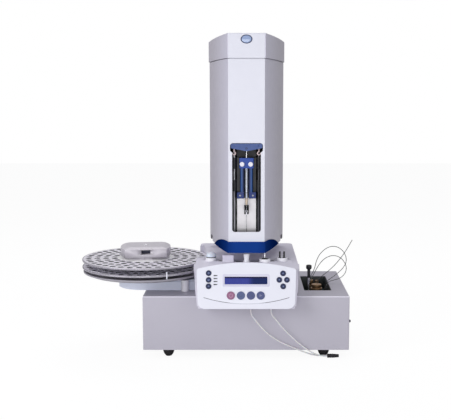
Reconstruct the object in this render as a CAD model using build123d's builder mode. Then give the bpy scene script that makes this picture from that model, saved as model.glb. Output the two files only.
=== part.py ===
from build123d import *
import os
from math import atan2, cos, pi, radians, sin, sqrt, tan

# Liquid autosampler: a turning needle tower on a moulded base with a keypad, a vial carousel
# on an arm at the left, all on a sheet-metal box that holds the injection valve.
# Z is up and Z = 0 is the bench. The keypad faces -Y.

os.makedirs("parts", exist_ok=True)

# Shared sizes
over = 2.0
touch_gap = 0.3
running_gap = 0.05
edge_round = 1.0

# Valve box
box_w = 460.0
box_d = 290.0
box_h = 122.0
sheet = 1.5
fold_r = 2.5
foot_h = 20.0
box_right = 229.0
side_screw_head_h = 3.5

# Carousel, measured from the tower's axis and the box's front face
tray_left = 236.6
tray_back = 128.0
tray_r = 147.0

# Keypad console
deck_h = 79.0
console_drop = 18.5
panel_tilt = 17.0
panel_out = 12.0
panel_len = 102.0

# The origin lies under the middle of the whole device
box_top = foot_h + box_h
deck_z = box_top + deck_h
console_bottom_z = box_top - console_drop
console_reach = panel_out + panel_len * sin(radians(panel_tilt))
axis_x = (tray_left + tray_r - box_right - side_screw_head_h) / 2
face_y = (console_reach - box_d) / 2
box_mid_x = axis_x + box_right - box_w / 2
box_mid_y = face_y + box_d / 2

# Tower: the needle stands one arm length in front of the axis
needle_arm = 150.0
axis_y = face_y + needle_arm
tray_x = axis_x - tray_left
tray_y = face_y + tray_back


def at(x, y):
    """A place given from the tower's axis and the box's front face."""
    return (axis_x + x, face_y + y)


def on_circle(x):
    """The place on the needle's circle at x beside the tower's axis."""
    return at(x, needle_arm - sqrt(needle_arm**2 - x**2))


def finish(part, label):
    """Name a piece and write it."""
    part.part.label = label
    export_step(part.part, "parts/" + label + ".step")


# Valve bay in the box top
bay_left = 132.0
bay_right = 194.5
bay_front = 62.0
bay_back = 227.0
bay_corner_r = 3.0
bay_x, bay_y = at((bay_left + bay_right) / 2, (bay_front + bay_back) / 2)

# Side screws of the cover
screw_down = 57.0
screw_z = box_top - screw_down
screw_ys = (60.0, 230.0)
screw_head_r = 3.4
screw_r = 1.5
screw_len = 6.0
screw_clearance = 0.2
screw_hole_r = screw_r + screw_clearance

# Rear inlet
inlet_inset = 80.0
inlet_up = 38.0
inlet_x = box_mid_x - box_w / 2 + inlet_inset
inlet_z = foot_h + inlet_up
inlet_w = 27.0
inlet_h = 19.5
inlet_deep = 17.0
inlet_wall = 1.6
inlet_flange = 6.0
inlet_flange_t = 2.0
rear_vent_w = 4.0
rear_vent_h = 40.0
rear_vent_pitch = 10.0
rear_vent_count = 10
rear_vent_inset = 120.0
pin_w = 2.0
pin_h = 4.0
pin_pitch = 7.0
pin_rise = 4.0
pin_len = 9.0

# Folded cover: top, front and sides in one sheet, open below and behind
with BuildPart() as box_cover:
    with BuildSketch(Plane.XY.offset(foot_h)):
        with Locations((box_mid_x, box_mid_y)):
            Rectangle(box_w, box_d)
    extrude(amount=box_h)
    front_folds = box_cover.edges().filter_by(Axis.Z).group_by(Axis.Y)[0]
    top_folds = box_cover.faces().sort_by(Axis.Z)[-1].edges().sort_by(Axis.Y)[:-1]
    fillet(front_folds + top_folds, radius=fold_r)
    open_faces = [box_cover.faces().sort_by(Axis.Z)[0], box_cover.faces().sort_by(Axis.Y)[-1]]
    offset(amount=-sheet, openings=open_faces)
    with BuildSketch(Plane.XY.offset(box_top - sheet - over)):
        with Locations((bay_x, bay_y)):
            RectangleRounded(bay_right - bay_left, bay_back - bay_front, bay_corner_r)
    extrude(amount=sheet + 2 * over, mode=Mode.SUBTRACT)
    for screw_y in screw_ys:
        with BuildSketch(Plane.YZ.offset(box_mid_x - box_w / 2 - over)):
            with Locations((face_y + screw_y, screw_z)):
                Circle(screw_hole_r)
        extrude(amount=box_w + 2 * over, mode=Mode.SUBTRACT)
finish(box_cover, "box_cover")

# Base tray: floor and rear panel
with BuildPart() as box_base:
    with BuildSketch(Plane.XY.offset(foot_h)):
        with Locations((box_mid_x, box_mid_y + sheet / 2)):
            Rectangle(box_w - 2 * sheet, box_d - sheet)
    extrude(amount=sheet)
    chamfer(box_base.edges().filter_by(Axis.Z).group_by(Axis.Y)[0], length=fold_r)
    with BuildSketch(Plane.XZ.offset(-(face_y + box_d))):
        with Locations((box_mid_x, foot_h + (box_h - sheet) / 2)):
            Rectangle(box_w - 2 * sheet, box_h - sheet)
    extrude(amount=sheet)
    with BuildSketch(Plane.XZ.offset(-(face_y + box_d + over))):
        with Locations((inlet_x, inlet_z)):
            Rectangle(inlet_w, inlet_h)
    extrude(amount=sheet + 2 * over, mode=Mode.SUBTRACT)
    with BuildSketch(Plane.XZ.offset(-(face_y + box_d + over))):
        with Locations((box_mid_x + box_w / 2 - rear_vent_inset, foot_h + box_h / 2)):
            with GridLocations(rear_vent_pitch, rear_vent_h, rear_vent_count, 1):
                Rectangle(rear_vent_w, rear_vent_h)
    extrude(amount=sheet + 2 * over, mode=Mode.SUBTRACT)
    top_corners = box_base.edges().filter_by(Axis.Y).group_by(Axis.Z)[-1]
    chamfer(top_corners, length=fold_r)
finish(box_base, "box_base")

# Pan-head screws, two a side
with BuildPart() as cover_screws:
    for side in (-1, 1):
        wall_x = box_mid_x + side * box_w / 2
        for screw_y in screw_ys:
            seat = Plane(origin=(wall_x, face_y + screw_y, screw_z), z_dir=(side, 0, 0))
            with BuildSketch(seat):
                Circle(screw_head_r)
            extrude(amount=side_screw_head_h)
            with BuildSketch(seat):
                Circle(screw_r)
            extrude(amount=-screw_len)
    heads = cover_screws.edges().filter_by(GeomType.CIRCLE).filter_by(lambda e: e.radius > screw_r)
    outer_rims = heads.group_by(Axis.X)[0] + heads.group_by(Axis.X)[-1]
    fillet(outer_rims, radius=edge_round)
finish(cover_screws, "cover_screws")

# Rubber feet, domed downward with a small flat to stand on
foot_r = 12.5
foot_flat_r = 6.0
foot_inset_x = 55.0
foot_inset_y = 27.0
foot_pitch_x = box_w - 2 * foot_inset_x
foot_pitch_y = box_d - 2 * foot_inset_y
foot_belly_share = 0.42
foot_belly_r = 11.6
with BuildPart() as foot:
    with BuildSketch(Plane.XZ):
        with BuildLine():
            Polyline((foot_flat_r, 0), (0, 0), (0, foot_h), (foot_r, foot_h))
            ThreePointArc(
                (foot_r, foot_h),
                (foot_belly_r, foot_h * foot_belly_share),
                (foot_flat_r, 0),
            )
        make_face()
    revolve(axis=Axis.Z)
with BuildPart() as rubber_feet:
    with Locations((box_mid_x, box_mid_y, 0)):
        with GridLocations(foot_pitch_x, foot_pitch_y, 2, 2):
            add(foot.part)
finish(rubber_feet, "rubber_feet")

# Mains inlet in the rear panel, its mouth flush with the panel
back_y = face_y + box_d
with BuildPart() as power_inlet:
    with BuildSketch(Plane.XZ.offset(-back_y)):
        with Locations((inlet_x, inlet_z)):
            Rectangle(inlet_w, inlet_h)
    extrude(amount=inlet_deep)
    with BuildSketch(Plane.XZ.offset(-(back_y - sheet))):
        with Locations((inlet_x, inlet_z)):
            Rectangle(inlet_w + 2 * inlet_flange, inlet_h + 2 * inlet_flange)
    extrude(amount=inlet_flange_t)
    with BuildSketch(Plane.XZ.offset(-back_y)):
        with Locations((inlet_x, inlet_z)):
            Rectangle(inlet_w - 2 * inlet_wall, inlet_h - 2 * inlet_wall)
    extrude(amount=inlet_deep - inlet_wall, mode=Mode.SUBTRACT)
    with BuildSketch(Plane.XZ.offset(-(back_y - inlet_deep + inlet_wall))):
        with Locations((inlet_x, inlet_z)):
            with Locations((-pin_pitch, -pin_rise / 2), (0, pin_rise / 2), (pin_pitch, -pin_rise / 2)):
                Rectangle(pin_w, pin_h)
    extrude(amount=-pin_len)
finish(power_inlet, "power_inlet")

# Injection valve, standing on the box floor under the bay
floor_z = foot_h + sheet
valve_right = 166.0
valve_in = 140.0
valve_x, valve_y = at(valve_right, valve_in)
motor_r = 24.0
plate_down = 44.0
plate_z = box_top - plate_down
plate_t = 4.0
plate_w = 58.0
plate_d = 74.0
head_foot_h = 6.0
head_apothem = 22.0
head_cone_h = 8.0
head_taper = 62.0
nut_flats = 6.35
nut_len = 12.0
nut_count = 6
nut_sides = 6
nut_turn = 30.0
head_turn = nut_turn - 180 / nut_count
tubing_r = 0.8
port_right = 146.0
port_x, port_y = on_circle(port_right)

with BuildPart() as valve_actuator:
    with BuildSketch(Plane.XY.offset(floor_z)):
        with Locations((valve_x, valve_y)):
            Circle(motor_r)
    extrude(amount=plate_z - floor_z)
    with BuildSketch(Plane.XY.offset(plate_z)):
        with Locations(((valve_x + port_x) / 2, (valve_y + port_y) / 2)):
            RectangleRounded(plate_w, plate_d, bay_corner_r)
    extrude(amount=plate_t)
finish(valve_actuator, "valve_actuator")

head_z = plate_z + plate_t
cone_z = head_z + head_foot_h
with BuildPart() as valve_head:
    with BuildSketch(Plane.XY.offset(head_z)):
        with Locations((valve_x, valve_y)):
            RegularPolygon(head_apothem, nut_count, major_radius=False, rotation=head_turn)
    extrude(amount=head_foot_h)
    with BuildSketch(Plane.XY.offset(cone_z)):
        with Locations((valve_x, valve_y)):
            RegularPolygon(head_apothem, nut_count, major_radius=False, rotation=head_turn)
    extrude(amount=head_cone_h, taper=head_taper)
finish(valve_head, "valve_head")

# Each nut stands square on one slanting face of the head
nut_lean = radians(head_taper)
nut_foot_r = head_apothem - head_cone_h / 2 * tan(nut_lean)
nut_foot_z = cone_z + head_cone_h / 2


def nut_way(index):
    """The direction in which nut number index points."""
    turn = radians(nut_turn) + index * 2 * pi / nut_count
    return Vector(cos(nut_lean) * cos(turn), cos(nut_lean) * sin(turn), sin(nut_lean))


def nut_foot(index):
    """The middle of the slanting face under nut number index."""
    turn = radians(nut_turn) + index * 2 * pi / nut_count
    return Vector(valve_x + nut_foot_r * cos(turn), valve_y + nut_foot_r * sin(turn), nut_foot_z)


def nut_mouth(index):
    """Where a tube leaves nut number index."""
    return nut_foot(index) + nut_way(index) * nut_len


with BuildPart() as valve_nuts:
    for index in range(nut_count):
        with BuildSketch(Plane(origin=nut_foot(index), z_dir=nut_way(index))):
            RegularPolygon(nut_flats / 2, nut_sides, major_radius=False)
        extrude(amount=nut_len)
finish(valve_nuts, "valve_nuts")

# Needle port: a steel guide tube with a black knob that the needle enters from above
port_stem_r = 2.5
port_bore_r = 1.0
port_rise = 44.0
port_top = box_top + port_rise
port_foot_r = 6.0
port_foot_h = 10.0
knob_r = 6.2
knob_h = 10.0
knob_sleeve_r = 3.6
knob_sleeve_len = 20.0
knob_over = 5.0
knob_top = port_top + knob_over
knob_end_r = 5.0
knob_funnel_r = 3.2
with BuildPart() as needle_port:
    with BuildSketch(Plane.XZ.offset(-port_y)):
        with BuildLine():
            Polyline(
                (port_x + port_bore_r, head_z),
                (port_x + port_foot_r, head_z),
                (port_x + port_foot_r, head_z + port_foot_h),
                (port_x + port_stem_r, head_z + port_foot_h + port_foot_r - port_stem_r),
                (port_x + port_stem_r, port_top),
                (port_x + port_bore_r, port_top),
                close=True,
            )
        make_face()
    revolve(axis=Axis((port_x, port_y, 0), (0, 0, 1)))
finish(needle_port, "needle_port")

with BuildPart() as port_cap:
    with BuildSketch(Plane.XZ.offset(-port_y)):
        with BuildLine():
            Polyline(
                (port_x + knob_end_r, knob_top),
                (port_x + knob_funnel_r, knob_top),
                (port_x + port_bore_r, port_top),
                (port_x + port_stem_r, port_top),
                (port_x + port_stem_r, knob_top - knob_h - knob_sleeve_len),
                (port_x + knob_sleeve_r, knob_top - knob_h - knob_sleeve_len),
                (port_x + knob_sleeve_r, knob_top - knob_h),
                (port_x + knob_end_r, knob_top - knob_h),
            )
            ThreePointArc(
                (port_x + knob_end_r, knob_top - knob_h),
                (port_x + knob_r, knob_top - knob_h / 2),
                (port_x + knob_end_r, knob_top),
            )
        make_face()
    revolve(axis=Axis((port_x, port_y, 0), (0, 0, 1)))
finish(port_cap, "port_cap")

# Keypad panel: its own plane, origin at the middle of its upper edge, y up the slope
panel_t = 3.0
panel_half = 107.0
panel_foot_half = 104.0
panel_arch = 14.0
panel_foot_corner_r = 14.0
panel_head_corner_r = 6.0
slope = radians(panel_tilt)
panel_plane = Plane(
    origin=(axis_x, face_y - panel_out, deck_z),
    x_dir=(1, 0, 0),
    z_dir=(0, -cos(slope), sin(slope)),
)
panel_back = panel_plane.offset(-panel_t)

# Display window and status lamps
window_x = -1.0
window_down = 40.0
window_w = 94.0
window_h = 17.0
glass_back = 0.8
module_rim = 5.0
module_t = 3.0
lamp_x = -67.7
lamp_w = 8.0
lamp_h = 1.8
lamp_rise = 0.4
lamp_downs = (29.2, 35.8, 42.2, 48.8)

# Buttons: name, place across and down the panel, radius
small_r = 6.0
large_r = 8.8
left_x = -82.8
pad_x = 80.0
pad_reach_x = 8.3
pad_reach_y = 14.2
pad_down = 38.6
row_down = 72.8
buttons = [
    ("button_left_upper", left_x, 23.9, small_r),
    ("button_left_middle", left_x, 38.7, small_r),
    ("button_left_lower", left_x, 52.6, small_r),
    ("button_row_first", -34.2, row_down, large_r),
    ("button_row_second", -12.2, row_down, large_r),
    ("button_row_third", 9.6, row_down, large_r),
    ("button_row_fourth", 31.0, row_down, large_r),
    ("button_pad_up", pad_x, pad_down - pad_reach_y, small_r),
    ("button_pad_left", pad_x - pad_reach_x, pad_down, small_r),
    ("button_pad_right", pad_x + pad_reach_x, pad_down, small_r),
    ("button_pad_down", pad_x, pad_down + pad_reach_y, small_r),
]
button_gap = 0.3
button_rise = 1.8
button_travel = 1.2
button_flange = 0.8
button_flange_t = 1.2
button_dish = 0.5
dish_share = 0.7
pocket_spare = 6.3
pocket_deep = button_flange_t + touch_gap + button_travel + pocket_spare
pocket_margin = 6.0
pocket_head = 12.0

# Base housing
housing_half = 113.0
housing_back = 250.0
console_half = 116.0
console_deep = 14.0
console_corner_r = 9.0
housing_corner_r = 12.0
deck_edge_r = 3.0
housing_wall = 4.0
tray_gap = 3.0
tray_floor_h = 30.5
tray_floor_z = box_top + tray_floor_h
notch_under = 4.5
notch_z = tray_floor_z - notch_under
channel_in = 14.0
channel_out = 7.0
channel_deep = 3.0
channel_front = 270.0
channel_span = 39.0
well_r = 4.5
well_deep = 49.0
well_floor_z = deck_z - well_deep
station_reach = 79.0
station_mid = 40.5
stations = (-station_reach, -station_mid, 0, station_mid, station_reach)
cup_xs = (-station_reach, station_mid, station_reach)
cup_r = 12.0
block_w = 25.0
block_d = 18.0
channel_r = needle_arm + (channel_out - channel_in) / 2
shaft_r = 8.0
nipple_r = 2.2
nipple_h = 7.5
nipple_out = 15.0
nipple_xs = (9.3, 54.0)
turn_motor_r = 28.0
turn_motor_h = 48.0

face_out = panel_out - panel_t / cos(slope)
face_drop = deck_z - console_bottom_z
with BuildPart() as body_housing:
    with BuildSketch(Plane.XY.offset(box_top)):
        with Locations((axis_x, face_y + (housing_back + console_deep) / 2)):
            Rectangle(2 * housing_half, housing_back - console_deep)
    extrude(amount=deck_z - box_top)
    fillet(body_housing.edges().filter_by(Axis.Z).group_by(Axis.Y)[-1], radius=housing_corner_r)
    fillet(body_housing.faces().sort_by(Axis.Z)[-1].edges().sort_by(Axis.Y)[1:], radius=deck_edge_r)
    with BuildSketch(Plane.YZ.offset(axis_x - console_half)):
        with BuildLine():
            Polyline(
                (face_y + console_deep, deck_z),
                (face_y - face_out, deck_z),
                (face_y - face_out - face_drop * tan(slope), console_bottom_z),
                (face_y, console_bottom_z),
                (face_y, box_top),
                (face_y + console_deep, box_top),
                close=True,
            )
        make_face()
    extrude(amount=2 * console_half)
    slope_way = Axis((0, 0, 0), (0, sin(slope), cos(slope)))
    fillet(body_housing.edges().filter_by(slope_way), radius=console_corner_r)
    # Hollow underneath, with a full wall round the notch for the carousel
    with BuildSketch(Plane.XY.offset(box_top)):
        with Locations((axis_x, face_y + (housing_back + console_deep) / 2)):
            Rectangle(
                2 * (housing_half - housing_wall), housing_back - console_deep - 2 * housing_wall
            )
        with Locations((tray_x, tray_y)):
            Circle(tray_r + tray_gap + housing_wall, mode=Mode.SUBTRACT)
    extrude(amount=deck_z - box_top - housing_wall, mode=Mode.SUBTRACT)
    # Round notch that the carousel's edge turns in
    with BuildSketch(Plane.XY.offset(notch_z)):
        with Locations((tray_x, tray_y)):
            Circle(tray_r + tray_gap)
    extrude(amount=deck_z - notch_z + over, mode=Mode.SUBTRACT)
    # Station bosses and their channel along the needle's circle
    with BuildSketch(Plane.XY.offset(well_floor_z - housing_wall)):
        with Locations(*[on_circle(x) for x in stations]):
            Circle(well_r + housing_wall)
    extrude(amount=deck_z - housing_wall - well_floor_z + housing_wall)
    with BuildSketch(Plane.XY.offset(deck_z - channel_deep)):
        with BuildLine():
            CenterArc((axis_x, axis_y), channel_r, channel_front - channel_span, 2 * channel_span)
        trace(line_width=channel_in + channel_out)
        with Locations(*[on_circle(x) for x in cup_xs]):
            Circle(cup_r + touch_gap)
        with Locations(on_circle(-station_mid)):
            Rectangle(block_w + 2 * touch_gap, block_d + 2 * touch_gap)
    extrude(amount=channel_deep + over, mode=Mode.SUBTRACT)
    with BuildSketch(Plane.XY.offset(well_floor_z)):
        with Locations(*[on_circle(x) for x in stations]):
            Circle(well_r)
    extrude(amount=deck_z, mode=Mode.SUBTRACT)
    with BuildSketch(Plane.XY.offset(deck_z - housing_wall - over)):
        with Locations((axis_x, axis_y)):
            Circle(shaft_r + edge_round)
    extrude(amount=housing_wall + 2 * over, mode=Mode.SUBTRACT)
    # Pocket for the display and the buttons behind the panel
    with BuildSketch(panel_back):
        with Locations((0, -(panel_len - pocket_margin + pocket_head) / 2)):
            Rectangle(
                2 * (panel_foot_half - pocket_margin), panel_len - pocket_margin - pocket_head
            )
    extrude(amount=-pocket_deep, mode=Mode.SUBTRACT)
    # Two drain nipples under the console
    with BuildSketch(Plane.XY.offset(console_bottom_z)):
        with Locations(*[at(x, -nipple_out) for x in nipple_xs]):
            Circle(nipple_r)
    extrude(amount=-nipple_h)
finish(body_housing, "body_housing")

# Arched white panel
groove_half = 94.0
groove_down = 77.0
groove_dip = 14.0
groove_w = 1.2
groove_deep = 0.8
with BuildPart() as console_panel:
    with BuildSketch(panel_plane):
        with BuildLine():
            ThreePointArc((-panel_half, -panel_arch), (0, 0), (panel_half, -panel_arch))
            Polyline(
                (panel_half, -panel_arch),
                (panel_foot_half, -panel_len),
                (-panel_foot_half, -panel_len),
                (-panel_half, -panel_arch),
            )
        make_face()
    extrude(amount=-panel_t)
    uprights = console_panel.edges().filter_by(Axis((0, 0, 0), panel_plane.z_dir))
    fillet(uprights.group_by(Axis.Z)[0], radius=panel_foot_corner_r)
    uprights = console_panel.edges().filter_by(Axis((0, 0, 0), panel_plane.z_dir))
    fillet(uprights.group_by(Axis.Z)[-1], radius=panel_head_corner_r)
    fillet(console_panel.faces().sort_by(Axis((0, 0, 0), panel_plane.z_dir))[-1].edges(), edge_round)
    with BuildSketch(panel_plane):
        with Locations((window_x, -window_down)):
            Rectangle(window_w, window_h)
        with Locations(*[(lamp_x, -down) for down in lamp_downs]):
            Rectangle(lamp_w, lamp_h)
        for name, across, down, radius in buttons:
            with Locations((across, -down)):
                Circle(radius + button_gap)
    extrude(amount=-(panel_t + over), both=True, mode=Mode.SUBTRACT)
    with BuildSketch(panel_plane.offset(-groove_deep)):
        with BuildLine():
            ThreePointArc(
                (-groove_half, -groove_down),
                (0, -groove_down - groove_dip),
                (groove_half, -groove_down),
            )
        trace(line_width=groove_w)
    extrude(amount=groove_deep + over, mode=Mode.SUBTRACT)
finish(console_panel, "console_panel")

# Display module: glass in the window, a wider frame behind the panel
with BuildPart() as display:
    with BuildSketch(panel_back):
        with Locations((window_x, -window_down)):
            Rectangle(window_w - 2 * button_gap, window_h - 2 * button_gap)
    extrude(amount=panel_t - glass_back)
    with BuildSketch(panel_back):
        with Locations((window_x, -window_down)):
            Rectangle(window_w + 2 * module_rim, window_h + 2 * module_rim)
    extrude(amount=-module_t)
finish(display, "display")

# Four status lamps in slots of the panel
with BuildPart() as status_leds:
    with BuildSketch(panel_back):
        with Locations(*[(lamp_x, -down) for down in lamp_downs]):
            Rectangle(lamp_w, lamp_h)
    extrude(amount=panel_t + lamp_rise)
finish(status_leds, "status_leds")


def make_button(label, across, down, radius):
    """A round key, dished on top, kept behind the panel by its flange."""
    stand = button_flange_t + touch_gap
    with BuildPart() as button:
        with BuildSketch(panel_back.offset(-stand)):
            with Locations((across, -down)):
                Circle(radius)
        extrude(amount=stand + panel_t + button_rise)
        fillet(button.edges().sort_by(Axis((0, 0, 0), panel_plane.z_dir))[-1], radius=edge_round)
        with BuildSketch(panel_back.offset(-stand)):
            with Locations((across, -down)):
                Circle(radius + button_flange)
        extrude(amount=button_flange_t)
        with BuildSketch(panel_plane.offset(button_rise - button_dish)):
            with Locations((across, -down)):
                Circle(radius * dish_share)
        extrude(amount=over, mode=Mode.SUBTRACT)
    finish(button, label)


for name, across, down, radius in buttons:
    make_button(name, across, down, radius)

# Geared motor under the deck that turns the tower
with BuildPart() as turn_motor:
    with BuildSketch(Plane.XY.offset(deck_z - housing_wall)):
        with Locations((axis_x, axis_y)):
            Circle(turn_motor_r)
            Circle(shaft_r + running_gap, mode=Mode.SUBTRACT)
    extrude(amount=-turn_motor_h)
finish(turn_motor, "turn_motor")

# Stations on the deck, where the needle can go
cup_h = 6.0
cup_well_r = 4.5
cup_z = deck_z - channel_deep
cup_top = cup_z + cup_h
with BuildPart() as station_cups:
    with BuildSketch(Plane.XY.offset(cup_z)):
        with Locations(*[on_circle(x) for x in cup_xs]):
            Circle(cup_r)
            Circle(cup_well_r, mode=Mode.SUBTRACT)
    extrude(amount=cup_h)
    cup_rims = station_cups.edges().filter_by(GeomType.CIRCLE).group_by(Axis.Z)[-1]
    fillet(cup_rims.filter_by(lambda e: e.radius > cup_well_r), radius=edge_round)
finish(station_cups, "station_cups")

# Domed cap over the wash vial
cap_r = 11.6
cap_band_r = 10.6
cap_band_h = 3.6
cap_dome_h = 11.0
cap_flat_r = 1.5
shoulder_r_share = 0.78
shoulder_h_share = 0.7
cap_plug_r = 4.2
cap_plug_h = 4.0
cap_x, cap_y = on_circle(-station_reach)
with BuildPart() as wash_cap:
    with BuildSketch(Plane.XZ.offset(-cap_y)):
        with BuildLine():
            Polyline(
                (cap_x + cap_flat_r, cup_top + cap_band_h + cap_dome_h),
                (cap_x, cup_top + cap_band_h + cap_dome_h),
                (cap_x, cup_top - cap_plug_h),
                (cap_x + cap_plug_r, cup_top - cap_plug_h),
                (cap_x + cap_plug_r, cup_top),
                (cap_x + cap_band_r, cup_top),
                (cap_x + cap_band_r, cup_top + cap_band_h),
                (cap_x + cap_r, cup_top + cap_band_h),
            )
            ThreePointArc(
                (cap_x + cap_r, cup_top + cap_band_h),
                (cap_x + cap_r * shoulder_r_share, cup_top + cap_band_h + cap_dome_h * shoulder_h_share),
                (cap_x + cap_flat_r, cup_top + cap_band_h + cap_dome_h),
            )
        make_face()
    revolve(axis=Axis((cap_x, cap_y, 0), (0, 0, 1)))
finish(wash_cap, "wash_cap")

# Reservoir block beside it
block_h = 17.0
block_x, block_y = on_circle(-station_mid)
with BuildPart() as reservoir_block:
    with BuildSketch(Plane.XY.offset(cup_z)):
        with Locations((block_x, block_y)):
            RectangleRounded(block_w, block_d, edge_round * 2)
            Circle(well_r, mode=Mode.SUBTRACT)
    extrude(amount=block_h)
finish(reservoir_block, "reservoir_block")

# White funnel under the parked needle
funnel_top_r = 7.0
funnel_foot_r = 5.5
funnel_h = 20.0
funnel_mouth_r = 5.6
funnel_bore_r = 3.2
funnel_foot_share = 0.15
funnel_neck_share = 0.35
funnel_bore_share = 0.5
funnel_x, funnel_y = on_circle(0)
with BuildPart() as wash_funnel:
    with BuildSketch(Plane.XZ.offset(-funnel_y)):
        with BuildLine():
            Polyline(
                (funnel_x + funnel_bore_r, cup_z),
                (funnel_x + funnel_top_r, cup_z),
                (funnel_x + funnel_top_r, cup_z + funnel_h * funnel_foot_share),
                (funnel_x + funnel_foot_r, cup_z + funnel_h * funnel_neck_share),
                (funnel_x + funnel_top_r, cup_z + funnel_h),
                (funnel_x + funnel_mouth_r, cup_z + funnel_h),
                (funnel_x + funnel_bore_r, cup_z + funnel_h * funnel_bore_share),
                close=True,
            )
        make_face()
    revolve(axis=Axis((funnel_x, funnel_y, 0), (0, 0, 1)))
finish(wash_funnel, "wash_funnel")

# Steel pin in a dark ring, and the two black pins beside it
peg_r = 2.0
peg_rise = 18.5
peg_top = deck_z + peg_rise
peg_sink = 5.0
peg_ring_r = 7.0
peg_ring_h = 2.5
twin_half = 4.75
with BuildPart() as station_pins:
    with BuildSketch(Plane.XY.offset(cup_top)):
        with Locations(on_circle(station_mid)):
            Circle(peg_ring_r)
    extrude(amount=peg_ring_h)
    with BuildSketch(Plane.XY.offset(cup_top - peg_sink)):
        with Locations(on_circle(station_mid)):
            Circle(peg_r)
    extrude(amount=peg_top - cup_top + peg_sink)
    with BuildSketch(Plane.XY.offset(cup_top)):
        with Locations(on_circle(station_reach)):
            with Locations((-twin_half, 0), (twin_half, 0)):
                Circle(peg_r)
    extrude(amount=peg_top - cup_top)
finish(station_pins, "station_pins")

# Tower outline: flat front facet, bowed flanks, rounded back
tower_gap = 22.0
tower_h = 472.0
tower_cap_h = 54.0
tower_bottom = deck_z + tower_gap
tower_top = tower_bottom + tower_h
tower_seam = tower_top - tower_cap_h
tower_wall = 2.5
facet_out = 18.0
facet_half = 39.3
flank_y = 80.0
flank_half = 66.0
widest_y = 195.0
tower_half = 87.0
tower_back = 236.0
back_half = 58.0
back_bow_x = 78.5
back_bow_y = 224.5


def tower_outline(grow):
    """The tower's plan, moved outward by grow."""
    left, right = [], []
    for side, line in ((-1, left), (1, right)):
        line.append((axis_x + side * facet_half, face_y - facet_out))
        line.append((axis_x + side * flank_half, face_y + flank_y))
        line.append((axis_x + side * tower_half, face_y + widest_y))
        line.append((axis_x + side * back_bow_x, face_y + back_bow_y))
        line.append((axis_x + side * back_half, face_y + tower_back))
    with BuildSketch(mode=Mode.PRIVATE) as plan:
        with BuildLine():
            Line(left[0], right[0])
            ThreePointArc(*right[:3])
            ThreePointArc(*right[2:])
            Line(right[4], left[4])
            ThreePointArc(*left[2:][::-1])
            ThreePointArc(*left[:3][::-1])
        make_face()
        if grow:
            offset(amount=grow, kind=Kind.INTERSECTION)
    return plan.sketch


# Window, and heights inside it as shares of it
window_low_share = 0.11
window_high_share = 0.572
window_low = tower_bottom + window_low_share * (tower_seam - tower_bottom)
window_high = tower_bottom + window_high_share * (tower_seam - tower_bottom)


def in_window(share):
    """A height at so large a share of the window above its lower edge."""
    return window_low + share * (window_high - window_low)


# Shell of the tower, with notches low in its flanks and vents high in its back
window_half = 31.0
window_r = 6.0
window_head_half = 35.5
window_head_h = 20.0
notch_y = 166.0
notch_w = 28.0
notch_h = 12.0
vent_w = 60.0
vent_h = 4.0
vent_pitch = 10.0
vent_count = 6
vent_share = 0.8
with BuildPart() as tower_shell:
    with BuildSketch(Plane.XY.offset(tower_bottom)):
        add(tower_outline(0))
        add(tower_outline(-tower_wall), mode=Mode.SUBTRACT)
    extrude(amount=tower_seam - tower_bottom)
    with BuildSketch(Plane.XZ.offset(-(face_y - facet_out - over))):
        with Locations((axis_x, (window_low + window_high) / 2)):
            RectangleRounded(2 * window_half, window_high - window_low, window_r)
        with Locations((axis_x, window_high - window_head_h / 2)):
            RectangleRounded(2 * window_head_half, window_head_h, window_r)
    extrude(amount=-(tower_wall + 2 * over), mode=Mode.SUBTRACT)
    with BuildSketch(Plane.YZ.offset(axis_x - tower_half - over)):
        with Locations((face_y + notch_y, tower_bottom)):
            Rectangle(notch_w, 2 * notch_h)
    extrude(amount=2 * (tower_half + over), mode=Mode.SUBTRACT)
    with BuildSketch(Plane.XZ.offset(-(face_y + tower_back + over))):
        with Locations((axis_x, tower_bottom + vent_share * (tower_seam - tower_bottom))):
            with GridLocations(vent_w, vent_pitch, 1, vent_count):
                Rectangle(vent_w, vent_h)
    extrude(amount=tower_wall + 2 * over, mode=Mode.SUBTRACT)
finish(tower_shell, "tower_shell")

# Cap with a roof that falls towards the back
cap_grow = 2.0
cap_gap = 1.5
roof_fall = 6.0
cap_lip = 8.0
with BuildPart() as tower_cap:
    with BuildSketch(Plane.XY.offset(tower_seam + cap_gap)):
        add(tower_outline(cap_grow))
    extrude(amount=tower_top - tower_seam - cap_gap)
    roof_run = tower_back + facet_out
    roof_tilt = atan2(roof_fall, roof_run)
    roof = Plane(
        origin=(axis_x, face_y - facet_out - cap_grow, tower_top),
        x_dir=(1, 0, 0),
        z_dir=(0, sin(roof_tilt), cos(roof_tilt)),
    )
    split(bisect_by=roof, keep=Keep.BOTTOM)
    roof_edges = tower_cap.faces().sort_by(Axis.Z)[-1].edges()
    fillet(roof_edges, radius=cap_grow)
    with BuildSketch(Plane.XY.offset(tower_seam + cap_gap)):
        add(tower_outline(cap_grow - 2 * tower_wall))
    extrude(amount=tower_top - tower_seam - cap_gap - roof_fall - tower_wall, mode=Mode.SUBTRACT)
    with BuildSketch(Plane.XY.offset(tower_seam - cap_lip)):
        add(tower_outline(-tower_wall - touch_gap))
        add(tower_outline(-2 * tower_wall - touch_gap), mode=Mode.SUBTRACT)
    extrude(amount=cap_lip + cap_gap + tower_wall)
finish(tower_cap, "tower_cap")

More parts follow.
